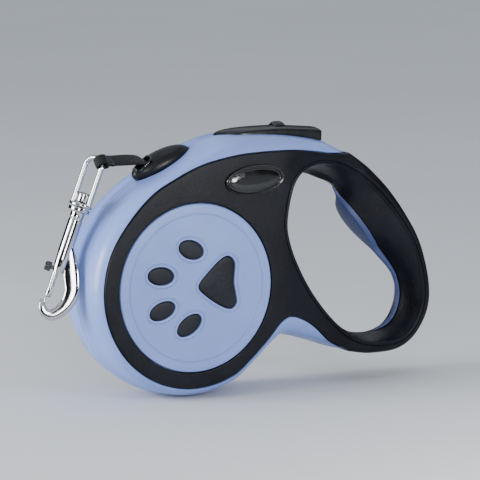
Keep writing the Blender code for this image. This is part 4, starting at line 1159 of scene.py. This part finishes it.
def make_button():
    """The button with its pivot boss and the arm to the pawl under it, and the lock on it."""
    button = piece("brake_button_moulded", brake_button(), BUTTON_BLACK, "button", ["brake_button"],
                   sharp=32)
    boss, arm = box((23.2, -2.5, 60.9), (26.8, 2.5, 66.0)), box((44.6, -7.4, 57.7), (47.0, -5.6, 66.0))
    carve(button, [boss, arm], "UNION")
    carve(button, [turned([(1.3, -9.0), (1.3, 9.0)], 32, (25.0, 62.5))])
    piece("lock_slider_ridged", lock_slider(), GLOSS, "lock", ["lock_slider"], sharp=60)


def finish_works():
    """Materials on the CAD's own pieces inside the casing and in the snap."""
    finishes = {
        STEEL: ("arbor", "bolt_spring", "brake_pawl", "button_pin", "button_spring", "pawl_pin",
                "power_spring"),
        INNER: ("ratchet_flange", "reel_drum", "spring_cover"),
        TAPE: ("tape_roll",),
    }
    for finish, names in finishes.items():
        for name in names:
            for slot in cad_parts[name].material_slots:
                slot.material = finish


def make_stage():
    """A wide pale floor."""
    made = bpy.data.materials.new("studio_paper")
    tree = Tree(made)
    colour = tree.mixed(tree.noise(6.0), srgb(212, 214, 216), srgb(220, 222, 224))
    tree.feed(tree.shader, {"Base Color": colour, "Roughness": 0.9})
    low = CAD_BOX[0][2] - FLOOR_GAP
    reach = FLOOR_REACH
    corners = [(-reach, -reach, low), (reach, -reach, low), (reach, reach, low), (-reach, reach, low)]
    mesh = bpy.data.meshes.new("floor")
    mesh.from_pydata(corners, [], [(0, 1, 2, 3)])
    mesh.materials.append(made)
    linked("floor", mesh)


# Floor, camera and light, in metres
FLOOR_REACH = 9.0
FLOOR_GAP = 0.0004
VIEW_CENTRE = AXIS + Vector((26.2, -11.2, 19.1)) * MM
VIEW_BACK = Vector((-0.476, -0.867, 0.146)).normalized()
VIEW_DISTANCE = 1.5
VIEW_WIDTH = 0.218
SENSOR = 36.0


def aimed(name, data, place, target):
    """A light or camera put at a place, looking at a target."""
    made = linked(name, data)
    made.location = place
    made.rotation_euler = (target - place).to_track_quat("-Z", "Y").to_euler()
    return made


def area_light(name, place, size, power, target=VIEW_CENTRE):
    """A rectangular light; place is in the camera's terms: right, up and towards it from the object."""
    right = Vector((-VIEW_BACK.y, VIEW_BACK.x, 0.0)).normalized()
    up = VIEW_BACK.cross(right)
    light = bpy.data.lights.new(name, "AREA")
    light.shape = "RECTANGLE"
    light.size, light.size_y = size
    light.energy = power
    aimed(name, light, VIEW_CENTRE + right * place[0] + up * place[1] + VIEW_BACK * place[2], target)


def make_light_and_camera():
    """Four area lights, a world that is dark at the horizon and bright above, and the camera."""
    world = bpy.data.worlds.new("studio")
    bpy.context.scene.world = world
    tree = Tree(world, "Background", "Generated")
    height = tree.add("SeparateXYZ", {"Vector": tree.place}, "Z")
    bands = tree.add("ValToRGB", {"Fac": tree.ranged(height, -1.0, 1.0, 0.0, 1.0)}, "Color")
    ramp = bands.node.color_ramp
    ramp.elements[0].color = (0.30, 0.32, 0.36, 1.0)
    ramp.elements[1].color = (0.70, 0.76, 0.88, 1.0)
    for position, level in ((0.34, 0.22), (0.40, 0.02), (0.66, 0.02), (0.72, 0.9), (0.82, 1.0), (0.9, 0.5)):
        ramp.elements.new(position).color = (level * 0.86, level * 0.92, level, 1.0)
    tree.feed(tree.shader, {"Color": bands, "Strength": 1.0})
    area_light("key", (-1.15, 0.12, 0.42), (0.6, 0.8), 28.0)
    area_light("top", (0.1, 1.1, 0.1), (0.9, 0.5), 1.0)
    area_light("fill", (0.02, 0.10, 1.25), (0.3, 0.3), 4.0)
    area_light("face", (0.27, 0.02, 0.30), (0.07, 0.07), 0.75, target=AXIS + Vector((-15, -18, 30)) * MM)
    camera = bpy.data.cameras.new("camera")
    camera.sensor_width = SENSOR
    camera.lens = SENSOR * VIEW_DISTANCE / VIEW_WIDTH
    bpy.context.scene.camera = aimed("camera", camera, VIEW_CENTRE + VIEW_BACK * VIEW_DISTANCE, VIEW_CENTRE)


make_casing()
make_mouth()
make_button()
tape, route = make_tape()
sewn_loop, stitching = make_loop()
snap_pieces = [make_eye(), make_hook(), make_bolt(), make_knob()]
finish_works()

placed = [AXIS + p * MM for p in route]
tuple(placed[0])
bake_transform(tape)
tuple(placed[0])
sum((b - a).length for a, b in zip(placed, placed[1:]))

make_stage()
make_light_and_camera()
